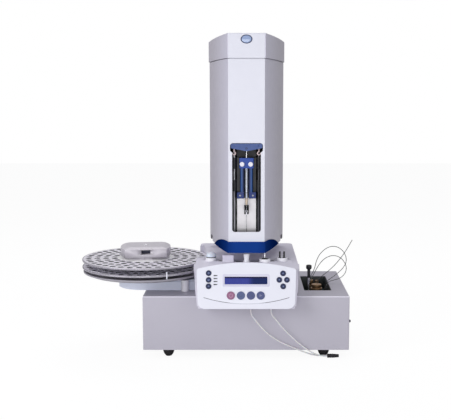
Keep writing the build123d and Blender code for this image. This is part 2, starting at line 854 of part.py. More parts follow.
# Blue nose round the foot of the tower, its upper edge falling towards the back
nose_t = 2.2
nose_front_h = 24.5
nose_mid_h = 19.0
nose_front_z = tower_bottom + nose_front_h
nose_mid_z = tower_bottom + nose_mid_h
nose_mid_y = 50.0
nose_back_y = 110.0
with BuildPart() as tower_nose:
    with BuildSketch(Plane.XY.offset(tower_bottom)):
        add(tower_outline(nose_t))
        add(tower_outline(0), mode=Mode.SUBTRACT)
    extrude(amount=nose_front_z - tower_bottom)
    with BuildSketch(Plane.YZ.offset(axis_x - tower_half)):
        with BuildLine():
            Polyline(
                (face_y + nose_back_y, tower_bottom),
                (face_y - facet_out - over - nose_t, tower_bottom),
                (face_y - facet_out - over - nose_t, nose_front_z),
                (face_y, nose_front_z),
            )
            ThreePointArc(
                (face_y, nose_front_z),
                (face_y + nose_mid_y, nose_mid_z),
                (face_y + nose_back_y, tower_bottom),
            )
        make_face()
    extrude(amount=2 * tower_half, mode=Mode.INTERSECT)
finish(tower_nose, "tower_nose")

# Turntable: foot plate inside the shell, funnel-shaped pedestal and shaft
plate_gap = 0.3
base_plate_t = 5.0
pedestal_r = 62.0
pedestal_foot_r = 44.0
shaft_len = 40.0
needle_hole_r = 6.0
with BuildPart() as tower_hub:
    with BuildSketch(Plane.XY.offset(tower_bottom)):
        add(tower_outline(-tower_wall - plate_gap))
        with Locations((axis_x, face_y)):
            Circle(needle_hole_r, mode=Mode.SUBTRACT)
    extrude(amount=base_plate_t)
    with BuildSketch(Plane.XZ.offset(-axis_y)):
        with BuildLine():
            Polyline(
                (axis_x, tower_bottom),
                (axis_x, deck_z - shaft_len),
                (axis_x + shaft_r, deck_z - shaft_len),
                (axis_x + shaft_r, deck_z + touch_gap),
                (axis_x + pedestal_foot_r, deck_z + touch_gap),
                (axis_x + pedestal_foot_r, deck_z + touch_gap + over),
                (axis_x + pedestal_r, tower_bottom),
                close=True,
            )
        make_face()
    revolve(axis=Axis((axis_x, axis_y, 0), (0, 0, 1)))
finish(tower_hub, "tower_hub")

# Frame inside the tower: an upright plate with a shelf on top
rod_half = 27.0
rod_y = 6.0
rod_r = 3.0
frame_half = 21.0
frame_y = 26.0
frame_t = 3.0
shelf_share = 0.773
shelf_z = tower_bottom + shelf_share * (tower_seam - tower_bottom)
shelf_t = 4.0
shelf_half = 35.0
shelf_front = -4.0
frame_z = tower_bottom + base_plate_t
with BuildPart() as back_plate:
    with BuildSketch(Plane.XY.offset(frame_z)):
        with Locations(at(0, frame_y + frame_t / 2)):
            Rectangle(2 * frame_half, frame_t)
    extrude(amount=shelf_z - frame_z)
    with BuildSketch(Plane.XY.offset(shelf_z)):
        with Locations(at(0, (shelf_front + frame_y + frame_t) / 2)):
            Rectangle(2 * shelf_half, frame_y + frame_t - shelf_front)
        with Locations(at(-rod_half, rod_y)):
            Circle(rod_r, mode=Mode.SUBTRACT)
        with Locations(at(rod_half, rod_y)):
            Circle(rod_r + running_gap, mode=Mode.SUBTRACT)
    extrude(amount=shelf_t)
finish(back_plate, "back_plate")

# Polished guide rod at the left, lead screw at the right
with BuildPart() as guide_rod:
    with BuildSketch(Plane.XY.offset(frame_z)):
        with Locations(at(-rod_half, rod_y)):
            Circle(rod_r)
    extrude(amount=shelf_z + shelf_t - frame_z)
finish(guide_rod, "guide_rod")

coupling_h = 14.0
with BuildPart() as lead_screw:
    with BuildSketch(Plane.XY.offset(frame_z + touch_gap)):
        with Locations(at(rod_half, rod_y)):
            Circle(rod_r)
    extrude(amount=shelf_z + shelf_t + coupling_h - frame_z - touch_gap)
finish(lead_screw, "lead_screw")

# Motor that turns the screw, on the shelf
lift_motor_half = 14.0
lift_motor_h = 46.0
lift_inward = 7.0
lift_behind = 6.0
lift_x, lift_y = at(rod_half - lift_inward, rod_y + lift_behind)
with BuildPart() as lift_motor:
    with BuildSketch(Plane.XY.offset(shelf_z + shelf_t)):
        with Locations((lift_x, lift_y)):
            RectangleRounded(2 * lift_motor_half, 2 * lift_motor_half, edge_round * 2)
        with Locations(at(rod_half, rod_y)):
            Circle(rod_r + running_gap, mode=Mode.SUBTRACT)
    extrude(amount=lift_motor_h)
finish(lift_motor, "lift_motor")

# Syringe carriage: clamp block, two columns, flanges, and lugs on rod and screw
block_top_share = 0.829
flange_share = 0.373
clamp_h = 22.0
flange_h = 13.5
lug_up = 27.0
lug_down = 12.0
block_top = in_window(block_top_share)
block_low = block_top - clamp_h
flange_low = in_window(flange_share)
column_low = flange_low + flange_h
clamp_half = 15.5
clamp_front = 8.0
column_out = 14.0
column_in = 4.8
column_d = 10.0
column_r = 3.0
flange_out = 20.8
flange_in = 5.7
web_y = 8.0
web_t = 4.0
lug_r = 6.0
lug_h = 24.0
lug_mid_z = flange_low + lug_up
upper_lug_z = block_top - lug_down
lug_gap = 0.35
barrel_r = 3.6
with BuildPart() as carriage:
    with BuildSketch(Plane.XY.offset(block_low)):
        with Locations(at(0, (web_y - clamp_front) / 2)):
            RectangleRounded(2 * clamp_half, web_y + clamp_front, edge_round)
    extrude(amount=block_top - block_low)
    with BuildSketch(Plane.XY.offset(column_low)):
        for side in (-1, 1):
            with Locations(at(side * (column_in + column_out) / 2, web_y - column_d / 2 - web_t)):
                RectangleRounded(column_out - column_in, column_d, column_r)
    extrude(amount=block_low - column_low)
    with BuildSketch(Plane.XY.offset(flange_low)):
        for side in (-1, 1):
            with Locations(at(side * (flange_in + flange_out) / 2, (web_y - clamp_front) / 2)):
                RectangleRounded(flange_out - flange_in, web_y + clamp_front, edge_round)
    extrude(amount=column_low - flange_low)
    with BuildSketch(Plane.XY.offset(flange_low)):
        with Locations(at(0, web_y + web_t / 2)):
            Rectangle(2 * flange_out, web_t)
    extrude(amount=block_top - flange_low)
    for lug_z in (lug_mid_z, upper_lug_z):
        with BuildSketch(Plane.XY.offset(lug_z - lug_h / 2)):
            with Locations(at(-rod_half, rod_y), at(rod_half, rod_y)):
                Circle(lug_r)
            with Locations(at(0, web_y + web_t / 2)):
                Rectangle(2 * rod_half, web_t)
        extrude(amount=lug_h)
    with BuildSketch(Plane.XY.offset(flange_low)):
        with Locations(at(-rod_half, rod_y), at(rod_half, rod_y)):
            Circle(rod_r + lug_gap)
        with Locations(at(0, 0)):
            Circle(barrel_r)
    extrude(amount=block_top, mode=Mode.SUBTRACT)
finish(carriage, "carriage")

# Two white clamp knobs on the front of the block
knob_xs = (-9.6, 8.9)
clamp_knob_r = 5.2
clamp_knob_t = 4.5
clamp_knob_up = 9.0
clamp_knob_z = block_low + clamp_knob_up
with BuildPart() as clamp_knobs:
    with BuildSketch(Plane.XZ.offset(-(face_y - clamp_front))):
        with Locations(*[(axis_x + x, clamp_knob_z) for x in knob_xs]):
            Circle(clamp_knob_r)
    extrude(amount=clamp_knob_t)
    knob_faces = clamp_knobs.faces().group_by(Axis.Y)[0]
    fillet(knob_faces.edges(), radius=edge_round)
finish(clamp_knobs, "clamp_knobs")

# Syringe: barrel in the clamp, with the plunger's rod above it
barrel_low = flange_low
plunger_r = 1.0
plunger_in = 12.0
with BuildPart() as syringe:
    with BuildSketch(Plane.XY.offset(barrel_low)):
        with Locations(at(0, 0)):
            Circle(barrel_r)
    extrude(amount=block_top - barrel_low)
    with BuildSketch(Plane.XY.offset(barrel_low + plunger_in)):
        with Locations(at(0, 0)):
            Circle(plunger_r + running_gap)
    extrude(amount=block_top, mode=Mode.SUBTRACT)
finish(syringe, "syringe")

# Needle with its hub, screwed to the barrel
hub_r = 3.0
hub_len = 15.0
needle_tip_up = 19.0
hub_low = barrel_low - hub_len
needle_tip = tower_bottom + needle_tip_up
needle_r = 0.5
with BuildPart() as needle:
    with BuildSketch(Plane.XY.offset(hub_low)):
        with Locations(at(0, 0)):
            Circle(hub_r)
    extrude(amount=barrel_low - hub_low)
    with BuildSketch(Plane.XY.offset(needle_tip)):
        with Locations(at(0, 0)):
            Circle(needle_r)
    extrude(amount=hub_low - needle_tip)
finish(needle, "needle")

# Black guide that holds the needle straight under the hub
guide_r = 5.2
guide_len = 35.0
guide_low = flange_low - guide_len
guide_bore_r = 3.3
guide_neck = 5.0
with BuildPart() as needle_guide:
    with BuildSketch(Plane.XY.offset(guide_low)):
        with Locations(at(0, 0)):
            Circle(guide_r)
        with Locations(at(0, (web_y + web_t) / 2)):
            Rectangle(guide_neck, web_y + web_t)
    extrude(amount=flange_low - guide_low)
    with BuildSketch(Plane.XY.offset(guide_low + guide_bore_r)):
        with Locations(at(0, 0)):
            Circle(guide_bore_r)
    extrude(amount=flange_low, mode=Mode.SUBTRACT)
    with BuildSketch(Plane.XY.offset(guide_low)):
        with Locations(at(0, 0)):
            Circle(needle_r + running_gap)
    extrude(amount=guide_bore_r, mode=Mode.SUBTRACT)
finish(needle_guide, "needle_guide")

# Plunger driver: a wide blue plate at the head of the window, sliding on rod and screw
plate_half = 34.5
plate_under = 1.0
plate_end_h = 10.0
plate_vee_h = 6.7
plate_top = window_high - plate_under
plate_end_low = plate_top - plate_end_h
plate_vee_low = plate_end_low - plate_vee_h
plate_front = -15.0
driver_t = 4.0
driver_lug_h = 14.0
driver_r = 3.0
with BuildPart() as plunger_plate:
    with BuildSketch(Plane.XZ.offset(-(face_y + plate_front))):
        with BuildLine():
            Polyline(
                (axis_x - plate_half, plate_top),
                (axis_x - plate_half, plate_end_low),
                (axis_x, plate_vee_low),
                (axis_x + plate_half, plate_end_low),
                (axis_x + plate_half, plate_top),
                close=True,
            )
        make_face()
    extrude(amount=-driver_t)
    plate_corners = plunger_plate.edges().filter_by(Axis.Y).group_by(Axis.X)
    fillet(plate_corners[0] + plate_corners[-1], radius=driver_r)
    with BuildSketch(Plane.XY.offset(plate_end_low)):
        with Locations(at(0, (plate_front + driver_t + rod_y + lug_r) / 2)):
            Rectangle(2 * rod_half, rod_y + lug_r - plate_front - driver_t)
    extrude(amount=driver_lug_h - driver_t)
    with BuildSketch(Plane.XY.offset(plate_end_low)):
        with Locations(at(-rod_half, rod_y), at(rod_half, rod_y)):
            Circle(lug_r)
    extrude(amount=driver_lug_h - driver_t)
    with BuildSketch(Plane.XY.offset(plate_end_low)):
        with Locations(at(-rod_half, rod_y), at(rod_half, rod_y)):
            Circle(rod_r + lug_gap)
    extrude(amount=driver_lug_h, mode=Mode.SUBTRACT)
finish(plunger_plate, "plunger_plate")

# Plunger rod, from the driver down into the barrel
with BuildPart() as plunger_rod:
    with BuildSketch(Plane.XY.offset(barrel_low + plunger_in + touch_gap)):
        with Locations(at(0, 0)):
            Circle(plunger_r)
    extrude(amount=plate_end_low - barrel_low - plunger_in - touch_gap)
finish(plunger_rod, "plunger_rod")

# Carousel arm, lying on the box top and standing out past its left end
arm_half = 63.0
arm_h = 24.0
arm_rim = 4.0
arm_rim_h = 5.0
spindle_r = 6.0
spindle_bore_deep = 16.0
arm_top = box_top + arm_h
with BuildPart() as tray_arm:
    steps = [
        (arm_half, box_top, arm_top - arm_rim_h),
        (arm_half - arm_rim, arm_top - arm_rim_h, arm_top),
    ]
    for half, low, high in steps:
        with BuildSketch(Plane.XY.offset(low)):
            with Locations((tray_x, tray_y)):
                Circle(half)
            with Locations(((tray_x + axis_x - console_half) / 2, tray_y)):
                Rectangle(axis_x - console_half - tray_x, 2 * half)
        extrude(amount=high - low)
    with BuildSketch(Plane.XY.offset(arm_top)):
        with Locations((tray_x, tray_y)):
            Circle(spindle_r + running_gap)
    extrude(amount=-spindle_bore_deep, mode=Mode.SUBTRACT)
finish(tray_arm, "tray_arm")

# White post in front of the arm
post_r = 8.5
post_h = 26.0
post_left = 140.0
with BuildPart() as support_post:
    with BuildSketch(Plane.XY.offset(box_top)):
        with Locations(at(-post_left, tray_back - arm_half - post_r)):
            Circle(post_r)
    extrude(amount=post_h)
    fillet(support_post.edges().group_by(Axis.Z)[-1], radius=edge_round)
finish(support_post, "support_post")

# Spindle with the flange that the tray rests on
spindle_flange_r = 30.0
spindle_rise = 27.5
spindle_top = tray_floor_z + spindle_rise
with BuildPart() as spindle:
    with BuildSketch(Plane.XY.offset(arm_top - spindle_bore_deep + touch_gap)):
        with Locations((tray_x, tray_y)):
            Circle(spindle_r)
    extrude(amount=spindle_top - arm_top + spindle_bore_deep - touch_gap)
    with BuildSketch(Plane.XY.offset(arm_top + touch_gap)):
        with Locations((tray_x, tray_y)):
            Circle(spindle_flange_r)
    extrude(amount=tray_floor_z - arm_top - 2 * touch_gap)
finish(spindle, "spindle")

# Tray: a dark dish with pillars, a lower and an upper holed plate
dish_lip = 15.0
dish_foot_r = tray_r - dish_lip
dish_t = 2.5
dish_rim_h = 7.5
dish_rim_z = tray_floor_z + dish_rim_h
dish_bore_r = spindle_r + touch_gap
boss_r = 20.0
lower_h = 15.0
lower_z = tray_floor_z + lower_h
lower_t = 3.0
upper_h = 16.5
upper_z = lower_z + upper_h
upper_t = 3.5
pillar_r = 2.5
pillar_inset = 85.0
pillar_ring_r = tray_r - pillar_inset
pillar_count = 6
with BuildPart() as tray_dish:
    with BuildSketch(Plane.XZ.offset(-tray_y)):
        with BuildLine():
            Polyline(
                (tray_x + dish_bore_r, tray_floor_z),
                (tray_x + dish_foot_r, tray_floor_z),
                (tray_x + tray_r - dish_t, dish_rim_z - dish_t),
                (tray_x + tray_r - dish_t, dish_rim_z),
                (tray_x + tray_r - 2 * dish_t, dish_rim_z),
                (tray_x + dish_foot_r - dish_t, tray_floor_z + dish_t),
                (tray_x + boss_r, tray_floor_z + dish_t),
                (tray_x + boss_r, lower_z),
                (tray_x + dish_bore_r, lower_z),
                close=True,
            )
        make_face()
    revolve(axis=Axis((tray_x, tray_y, 0), (0, 0, 1)))
    with BuildSketch(Plane.XY.offset(tray_floor_z + dish_t)):
        with Locations((tray_x, tray_y)):
            with PolarLocations(pillar_ring_r, pillar_count):
                Circle(pillar_r)
    extrude(amount=lower_z - tray_floor_z - dish_t)
finish(tray_dish, "tray_dish")

# Vial sockets in rings, the same in both plates
socket_r = 6.6
socket_pitch = 20.8
lower_sides = 6
upper_sides = 8
ring_edge = 14.0
ring_step = 20.0
ring_count = 4
ring_rs = [tray_r - ring_edge - number * ring_step for number in range(ring_count)]


def sockets(sides):
    """Vial sockets of one plate, as polygons with so many sides."""
    for ring_r in ring_rs:
        with Locations((tray_x, tray_y)):
            with PolarLocations(ring_r, int(2 * pi * ring_r / socket_pitch)):
                RegularPolygon(socket_r, sides, mode=Mode.SUBTRACT)


with BuildPart() as tray_plate_lower:
    with BuildSketch(Plane.XY.offset(lower_z)):
        with Locations((tray_x, tray_y)):
            Circle(tray_r)
            Circle(dish_bore_r, mode=Mode.SUBTRACT)
        sockets(lower_sides)
    extrude(amount=lower_t)
    with BuildSketch(Plane.XY.offset(lower_z + lower_t)):
        with Locations((tray_x, tray_y)):
            Circle(boss_r)
            Circle(dish_bore_r, mode=Mode.SUBTRACT)
            with PolarLocations(pillar_ring_r, pillar_count):
                Circle(pillar_r)
    extrude(amount=upper_z - lower_z - lower_t)
finish(tray_plate_lower, "tray_plate_lower")

with BuildPart() as tray_plate_upper:
    with BuildSketch(Plane.XY.offset(upper_z)):
        with Locations((tray_x, tray_y)):
            Circle(tray_r)
        sockets(upper_sides)
    extrude(amount=upper_t)
finish(tray_plate_upper, "tray_plate_upper")

# Hub cover: flat in front and behind, bowed at its sides, crowned, on a round foot
cover_flat_half = 47.0
cover_half = 50.0
cover_bow = 58.0
cover_rise = 7.5
cover_side_h = 19.0
cover_crown = 3.5
crown_taper = 76.0
cover_foot_r = 45.0
finger_w = 20.5
finger_h = 10.5
finger_deep = 16.0
finger_down = 7.5
recess_w = 36.0
recess_h = 12.0
recess_deep = 1.5
plates_top = upper_z + upper_t
cover_z = plates_top + cover_rise
cover_edge_z = cover_z + cover_side_h
finger_z = cover_edge_z - finger_down


def cover_outline():
    """The hub cover's plan."""
    left, right = tray_x - cover_flat_half, tray_x + cover_flat_half
    front, back = tray_y - cover_half, tray_y + cover_half
    with BuildSketch(mode=Mode.PRIVATE) as plan:
        with BuildLine():
            Line((left, front), (right, front))
            ThreePointArc((right, front), (tray_x + cover_bow, tray_y), (right, back))
            Line((right, back), (left, back))
            ThreePointArc((left, back), (tray_x - cover_bow, tray_y), (left, front))
        make_face()
    return plan.sketch


with BuildPart() as hub_cover:
    with BuildSketch(Plane.XY.offset(cover_z)):
        add(cover_outline())
    extrude(amount=cover_side_h)
    with BuildSketch(Plane.XY.offset(cover_edge_z)):
        add(cover_outline())
    extrude(amount=cover_crown, taper=crown_taper)
    with BuildSketch(Plane.XY.offset(plates_top)):
        with Locations((tray_x, tray_y)):
            Circle(cover_foot_r)
    extrude(amount=cover_rise)
    with BuildSketch(Plane.XZ.offset(-(tray_y - cover_half - over))):
        with Locations((tray_x, finger_z)):
            Rectangle(finger_w, finger_h)
    extrude(amount=-(finger_deep + over), mode=Mode.SUBTRACT)
    with BuildSketch(Plane.XZ.offset(-(tray_y - cover_half - over))):
        with Locations((tray_x, finger_z)):
            Rectangle(recess_w, recess_h)
    extrude(amount=-(recess_deep + over), mode=Mode.SUBTRACT)
finish(hub_cover, "hub_cover")


# Tubing: runs joined by arcs as wide as the runs allow
run_share = 0.45


def corner_radii(points):
    """The largest smooth radius at each inner point of a route."""
    radii = []
    for before, point, after in zip(points, points[1:], points[2:]):
        first, second = Vector(*point) - Vector(*before), Vector(*after) - Vector(*point)
        half_turn = radians(first.get_angle(second)) / 2
        radii.append(run_share * min(first.length, second.length) / tan(half_turn))
    return radii


def make_tube(label, points, radius):
    """A round tube along a route, with its least radius and volume printed."""
    radii = corner_radii(points)
    with BuildPart() as tube:
        with BuildLine() as route:
            FilletPolyline(*points, radius=radii)
        with BuildSketch(Plane(origin=route.wire() @ 0, z_dir=route.wire() % 0)):
            Circle(radius)
        sweep()
    length = route.wire().length
    print(label, "length", round(length, 1), "least radius", round(min(radii), 1))
    print(label, "volume", round(tube.part.volume, 1), "of", round(pi * radius**2 * length, 1))
    finish(tube, label)


def route_from(exit_point, way, run, places, tail):
    """A route that leaves a fitting straight, then follows places and a tail."""
    return [tuple(p) for p in [exit_point, exit_point + way * run] + places + tail]


def over_box(places):
    """Places from the tower's axis, the box's front face and the box top."""
    return [Vector(*at(x, y), box_top + z) for x, y, z in places]


first_run = 9.0
outer_places = [
    (146.5, 152.5, 0.0), (151.5, 152.3, 12.0), (158.0, 151.8, 24.0), (163.0, 151.0, 37.0),
    (166.0, 150.5, 51.5), (172.0, 149.5, 66.0), (183.0, 148.5, 79.0), (197.0, 147.5, 87.5),
    (213.0, 147.0, 88.0), (227.0, 146.5, 79.5), (235.5, 146.0, 66.5), (237.5, 145.5, 51.5),
    (231.0, 145.0, 38.0), (220.0, 144.5, 26.5), (207.0, 145.0, 16.0), (195.5, 147.0, 7.5),
    (189.0, 150.0, -1.0),
]
outer_nuts = (2, 0)
inner_nuts = (3, 5)
free_nut = 1
outer_start, outer_end = [nut_mouth(nut) for nut in outer_nuts]
outer_out, outer_in = [nut_way(nut) for nut in outer_nuts]
outer_route = route_from(
    outer_start, outer_out, first_run, over_box(outer_places),
    [outer_end + outer_in * first_run, outer_end],
)
inner_places = [
    (146.5, 128.5, -0.5), (152.0, 131.0, 11.5), (159.0, 134.0, 24.0), (166.0, 136.5, 37.0),
    (174.5, 138.0, 50.0), (186.0, 138.5, 61.5), (201.5, 138.5, 68.0), (218.0, 138.0, 65.5),
    (230.5, 137.0, 54.5), (237.0, 136.0, 39.5), (233.5, 134.5, 24.5), (222.0, 133.0, 14.0),
    (207.5, 132.0, 10.0), (194.5, 131.0, 6.5), (188.5, 129.5, -1.5),
]
inner_start, inner_end = [nut_mouth(nut) for nut in inner_nuts]
inner_out, inner_in = [nut_way(nut) for nut in inner_nuts]
inner_route = route_from(
    inner_start, inner_out, first_run, over_box(inner_places),
    [inner_end + inner_in * first_run, inner_end],
)
free_places = [
    (168.5, 165.5, -0.5), (176.5, 163.5, 9.0), (187.0, 160.5, 18.5), (199.0, 157.0, 29.5),
    (210.5, 154.0, 41.5), (221.5, 151.5, 55.5), (232.0, 150.0, 70.5), (241.5, 149.0, 86.5),
    (250.5, 148.5, 103.0),
]
free_start, free_out = nut_mouth(free_nut), nut_way(free_nut)
free_route = route_from(free_start, free_out, first_run, over_box(free_places), [])
make_tube("outer_loop", outer_route, tubing_r)
make_tube("inner_loop", inner_route, tubing_r)
make_tube("free_capillary", free_route, tubing_r)

# Two soft drain tubes, from the nipples down to a shared end fitting by the front foot
# Heights of its places are shares of the nipples' height
drain_r = 1.5
nipple_z = console_bottom_z - nipple_h
drain_drop = 11.0
drain_start = 181.0
drain_z = 4.5
drain_mid = 7.5
drain_split = 2.3
drain_end_r = 4.5
drain_end_len = 26.0
left_places = [
    (18.0, -14.5, 0.810), (31.0, -12.5, 0.659), (49.0, -10.5, 0.500), (69.5, -9.0, 0.375),
    (91.0, -7.5, 0.280), (113.5, -5.5, 0.198), (134.5, -2.0, 0.116), (153.5, 4.0, 0.056),
]
right_places = [
    (64.5, -14.5, 0.806), (79.5, -12.5, 0.638), (96.5, -10.5, 0.483), (114.5, -8.5, 0.332),
    (133.5, -6.0, 0.203), (152.0, -1.5, 0.095),
]


def drain_route(nipple_x, places, split):
    """Down from its nipple, along places, and straight into the end fitting."""
    mouth = Vector(*at(nipple_x, -nipple_out), nipple_z)
    end = Vector(*at(drain_start, drain_mid + split), drain_z)
    middle = [Vector(*at(x, y), share * nipple_z) for x, y, share in places]
    tail = [end - Vector(drain_drop, 0, 0), end]
    return route_from(mouth, Vector(0, 0, -1), drain_drop, middle, tail)


make_tube("drain_tube_left", drain_route(nipple_xs[0], left_places, drain_split), drain_r)
make_tube("drain_tube_right", drain_route(nipple_xs[1], right_places, -drain_split), drain_r)

with BuildPart() as drain_end:
    with BuildSketch(Plane.YZ.offset(axis_x + drain_start)):
        with Locations((face_y + drain_mid, drain_z)):
            Circle(drain_end_r)
    extrude(amount=drain_end_len)
finish(drain_end, "drain_end")
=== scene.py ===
import math

import bmesh
import bpy
from mathutils import Matrix, Vector


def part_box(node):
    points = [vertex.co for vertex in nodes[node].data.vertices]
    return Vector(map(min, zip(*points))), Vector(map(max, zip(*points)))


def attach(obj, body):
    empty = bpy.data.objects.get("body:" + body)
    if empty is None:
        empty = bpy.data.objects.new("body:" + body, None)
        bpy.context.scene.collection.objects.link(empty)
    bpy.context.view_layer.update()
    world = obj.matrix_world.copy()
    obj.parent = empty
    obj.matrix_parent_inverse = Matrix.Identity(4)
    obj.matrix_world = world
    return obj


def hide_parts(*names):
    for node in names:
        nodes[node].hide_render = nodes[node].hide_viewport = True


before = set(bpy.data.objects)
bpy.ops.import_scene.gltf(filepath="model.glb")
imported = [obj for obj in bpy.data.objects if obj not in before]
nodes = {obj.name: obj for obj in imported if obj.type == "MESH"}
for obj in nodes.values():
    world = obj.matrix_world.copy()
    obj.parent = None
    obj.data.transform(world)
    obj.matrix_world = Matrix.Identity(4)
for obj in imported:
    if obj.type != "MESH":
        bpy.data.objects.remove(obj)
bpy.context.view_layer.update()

MM = 0.001
WELD = 0.000002  # Points of a node's mesh that are this close, in metres, are one
SHARP = 35.0  # Edges that bend by more degrees than this stay sharp



def middle(node):
    """The middle of a node's box, in metres."""
    return [(low + high) / 2 for low, high in zip(*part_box(node))]


# Places, in millimetres from the tower's axis, the box's front face and the table
AXIS_X = middle("tower_shell")[0]
FACE_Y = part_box("box_cover")[0].y
TRAY_X, TRAY_Y, _ = middle("tray_plate_upper")
NEEDLE_ARM = 150.0


def spot(x, y, z):
    """A place from millimetres beside the axis, behind the front face and above the table."""
    return Vector((AXIS_X + x * MM, FACE_Y + y * MM, z * MM))


def on_circle(x):
    """The place on the needle's circle at x beside the axis, at the table's height."""
    return spot(x, NEEDLE_ARM - math.sqrt(NEEDLE_ARM ** 2 - x ** 2), 0)


def tray_spot(x, y, z):
    """A place from the carousel's axis."""
    return Vector((TRAY_X + x * MM, TRAY_Y + y * MM, z * MM))


def upright(x, y, z):
    """Axes at a spot, with z up."""
    return Matrix.Translation(spot(x, y, z))


def on_front(x, y, z):
    """Axes on a face that looks forward: x across, y up, z out of the face."""
    return upright(x, y, z) @ Matrix.Rotation(math.radians(90), 4, "X")


def facing_way(place, way):
    """Axes at a place, with z along a way."""
    return Matrix.Translation(place) @ Vector(way).to_track_quat("Z", "Y").to_matrix().to_4x4()


def turned_by(angle):
    """A turn round z, in radians."""
    return Matrix.Rotation(angle, 4, "Z")


AXIS = upright(0, 0, 0)
TRAY_AXIS = Matrix.Translation(tray_spot(0, 0, 0))

# ---- colours and materials

paints = {}
worn = {}


def tint(red, green, blue):
    """A colour from its screen values of 0 to 255, as the shaders take it."""
    out = []
    for value in (red / 255, green / 255, blue / 255):
        out.append(value / 12.92 if value <= 0.04045 else ((value + 0.055) / 1.055) ** 2.4)
    return (*out, 1.0)


class Nodes:
    """A material's or a world's shader nodes, set and joined as they are made."""

    def __init__(self, owner):
        owner.use_nodes = True
        self.tree = owner.node_tree

    def put(self, value, socket):
        """A value set on a socket, or a socket joined to it."""
        if isinstance(value, bpy.types.NodeSocket):
            self.tree.links.new(value, socket)
        else:
            socket.default_value = value

    def node(self, kind, inputs=None, **settings):
        made = self.tree.nodes.new(kind)
        for name, value in settings.items():
            setattr(made, name, value)
        for name, value in (inputs or {}).items():
            self.put(value, made.inputs[name])
        return made

    def maths(self, operation, first, second=0.0):
        return self.node("ShaderNodeMath", {0: first, 1: second}, operation=operation).outputs[0]


class Finish(Nodes):
    """A material and the nodes that wear it. Noise and colour follow the piece's own axes."""

    def __init__(self, name, wearers=""):
        worn.update(dict.fromkeys(wearers.split(), name))
        paints[name] = bpy.data.materials.new(name)
        super().__init__(paints[name])
        self.shader = next(n for n in self.tree.nodes if n.type == "BSDF_PRINCIPLED")
        self.place = self.node("ShaderNodeTexCoord").outputs

    def noise(self, scale, detail, stretch):
        """A noise value, stretched along the axes."""
        mapping = self.node("ShaderNodeMapping",
                            {"Scale": stretch, "Vector": self.place["Object"]})
        return self.node("ShaderNodeTexNoise", {
            "Scale": scale, "Detail": detail, "Vector": mapping.outputs["Vector"],
        }).outputs["Fac"]

    def ramp(self, value, low, high, bottom=0.0, top=1.0, kind="LINEAR"):
        """A value carried from low..high to bottom..top."""
        return self.node("ShaderNodeMapRange", {
            "Value": value, "From Min": low, "From Max": high, "To Min": bottom, "To Max": top,
        }, interpolation_type=kind).outputs["Result"]

    def smooth(self, value, low, high):
        return self.ramp(value, low, high, kind="SMOOTHSTEP")

    def under(self, value, low, high):
        """1 under low, 0 over high."""
        return self.ramp(value, low, high, 1.0, 0.0)

    def mix(self, factor, first, second, kind="MIX"):
        """A colour between two, which are colours or sockets."""
        return self.node("ShaderNodeMix", {"Factor": factor, 6: first, 7: second},
                         data_type="RGBA", blend_type=kind).outputs[2]

    def axes(self, output="Object"):
        """The piece's own x, y and z, or its normal's."""
        return self.node("ShaderNodeSeparateXYZ", {0: self.place[output]}).outputs

    def off_centre(self, centre_x, centre_y):
        """How far along x and y a point is from an upright axis."""
        place = self.axes()
        return (self.maths("SUBTRACT", place[0], centre_x),
                self.maths("SUBTRACT", place[1], centre_y))

    def beside(self):
        """How far a point is to either side of the tower's axis."""
        return self.maths("ABSOLUTE", self.off_centre(AXIS_X, 0)[0])

    def outward(self, centre_x, centre_y):
        """Above 0 on faces that look away from an upright axis."""
        normal = self.axes("Normal")
        across, along = self.off_centre(centre_x, centre_y)
        return self.maths("ADD", self.maths("MULTIPLY", normal[0], across),
                          self.maths("MULTIPLY", normal[1], along))

    def radius(self, centre_x, centre_y):
        """How far a point is from an upright axis."""
        across, along = self.off_centre(centre_x, centre_y)
        return self.maths("SQRT", self.maths("ADD", self.maths("MULTIPLY", across, across),
                                             self.maths("MULTIPLY", along, along)))

    def coloured(self, colour, tone, blotch, stretch):
        """A colour or a socket's colour with a faint cloudiness."""
        cloud = self.ramp(self.noise(blotch, 4.0, stretch), 0.3, 0.7)
        if isinstance(colour, bpy.types.NodeSocket):
            grey = self.mix(cloud, (1 - tone,) * 3 + (1.0,), (1.0,) * 4)
            return self.mix(1.0, colour, grey, "MULTIPLY")
        dark, light = (tuple(min(1.0, c * share) for c in colour[:3]) + (1.0,)
                       for share in (1 - tone, 1 + tone))
        return self.mix(cloud, dark, light)

    def surface(self, colour, rough, spread=0.06, grain=700, depth=0.02, metallic=0.0,
                stretch=(1, 1, 1), tone=0.03, blotch=14, **plain):
        """Colour, roughness, a fine grain of a depth in mm, and plain values on the shader."""
        cloud = self.noise(blotch * 5, 3.0, stretch)
        values = {
            "Base Color": self.coloured(colour, tone, blotch, stretch),
            "Roughness": self.ramp(cloud, 0.25, 0.75, max(0.02, rough - spread), rough + spread),
            "Metallic": metallic, **plain}
        if depth:
            values["Normal"] = self.node("ShaderNodeBump", {
                "Strength": 0.6, "Distance": depth * MM,
                "Height": self.noise(grain, 2.0, stretch)}).outputs["Normal"]
        for name, value in values.items():
            self.put(value, self.shader.inputs[name.replace("_", " ")])


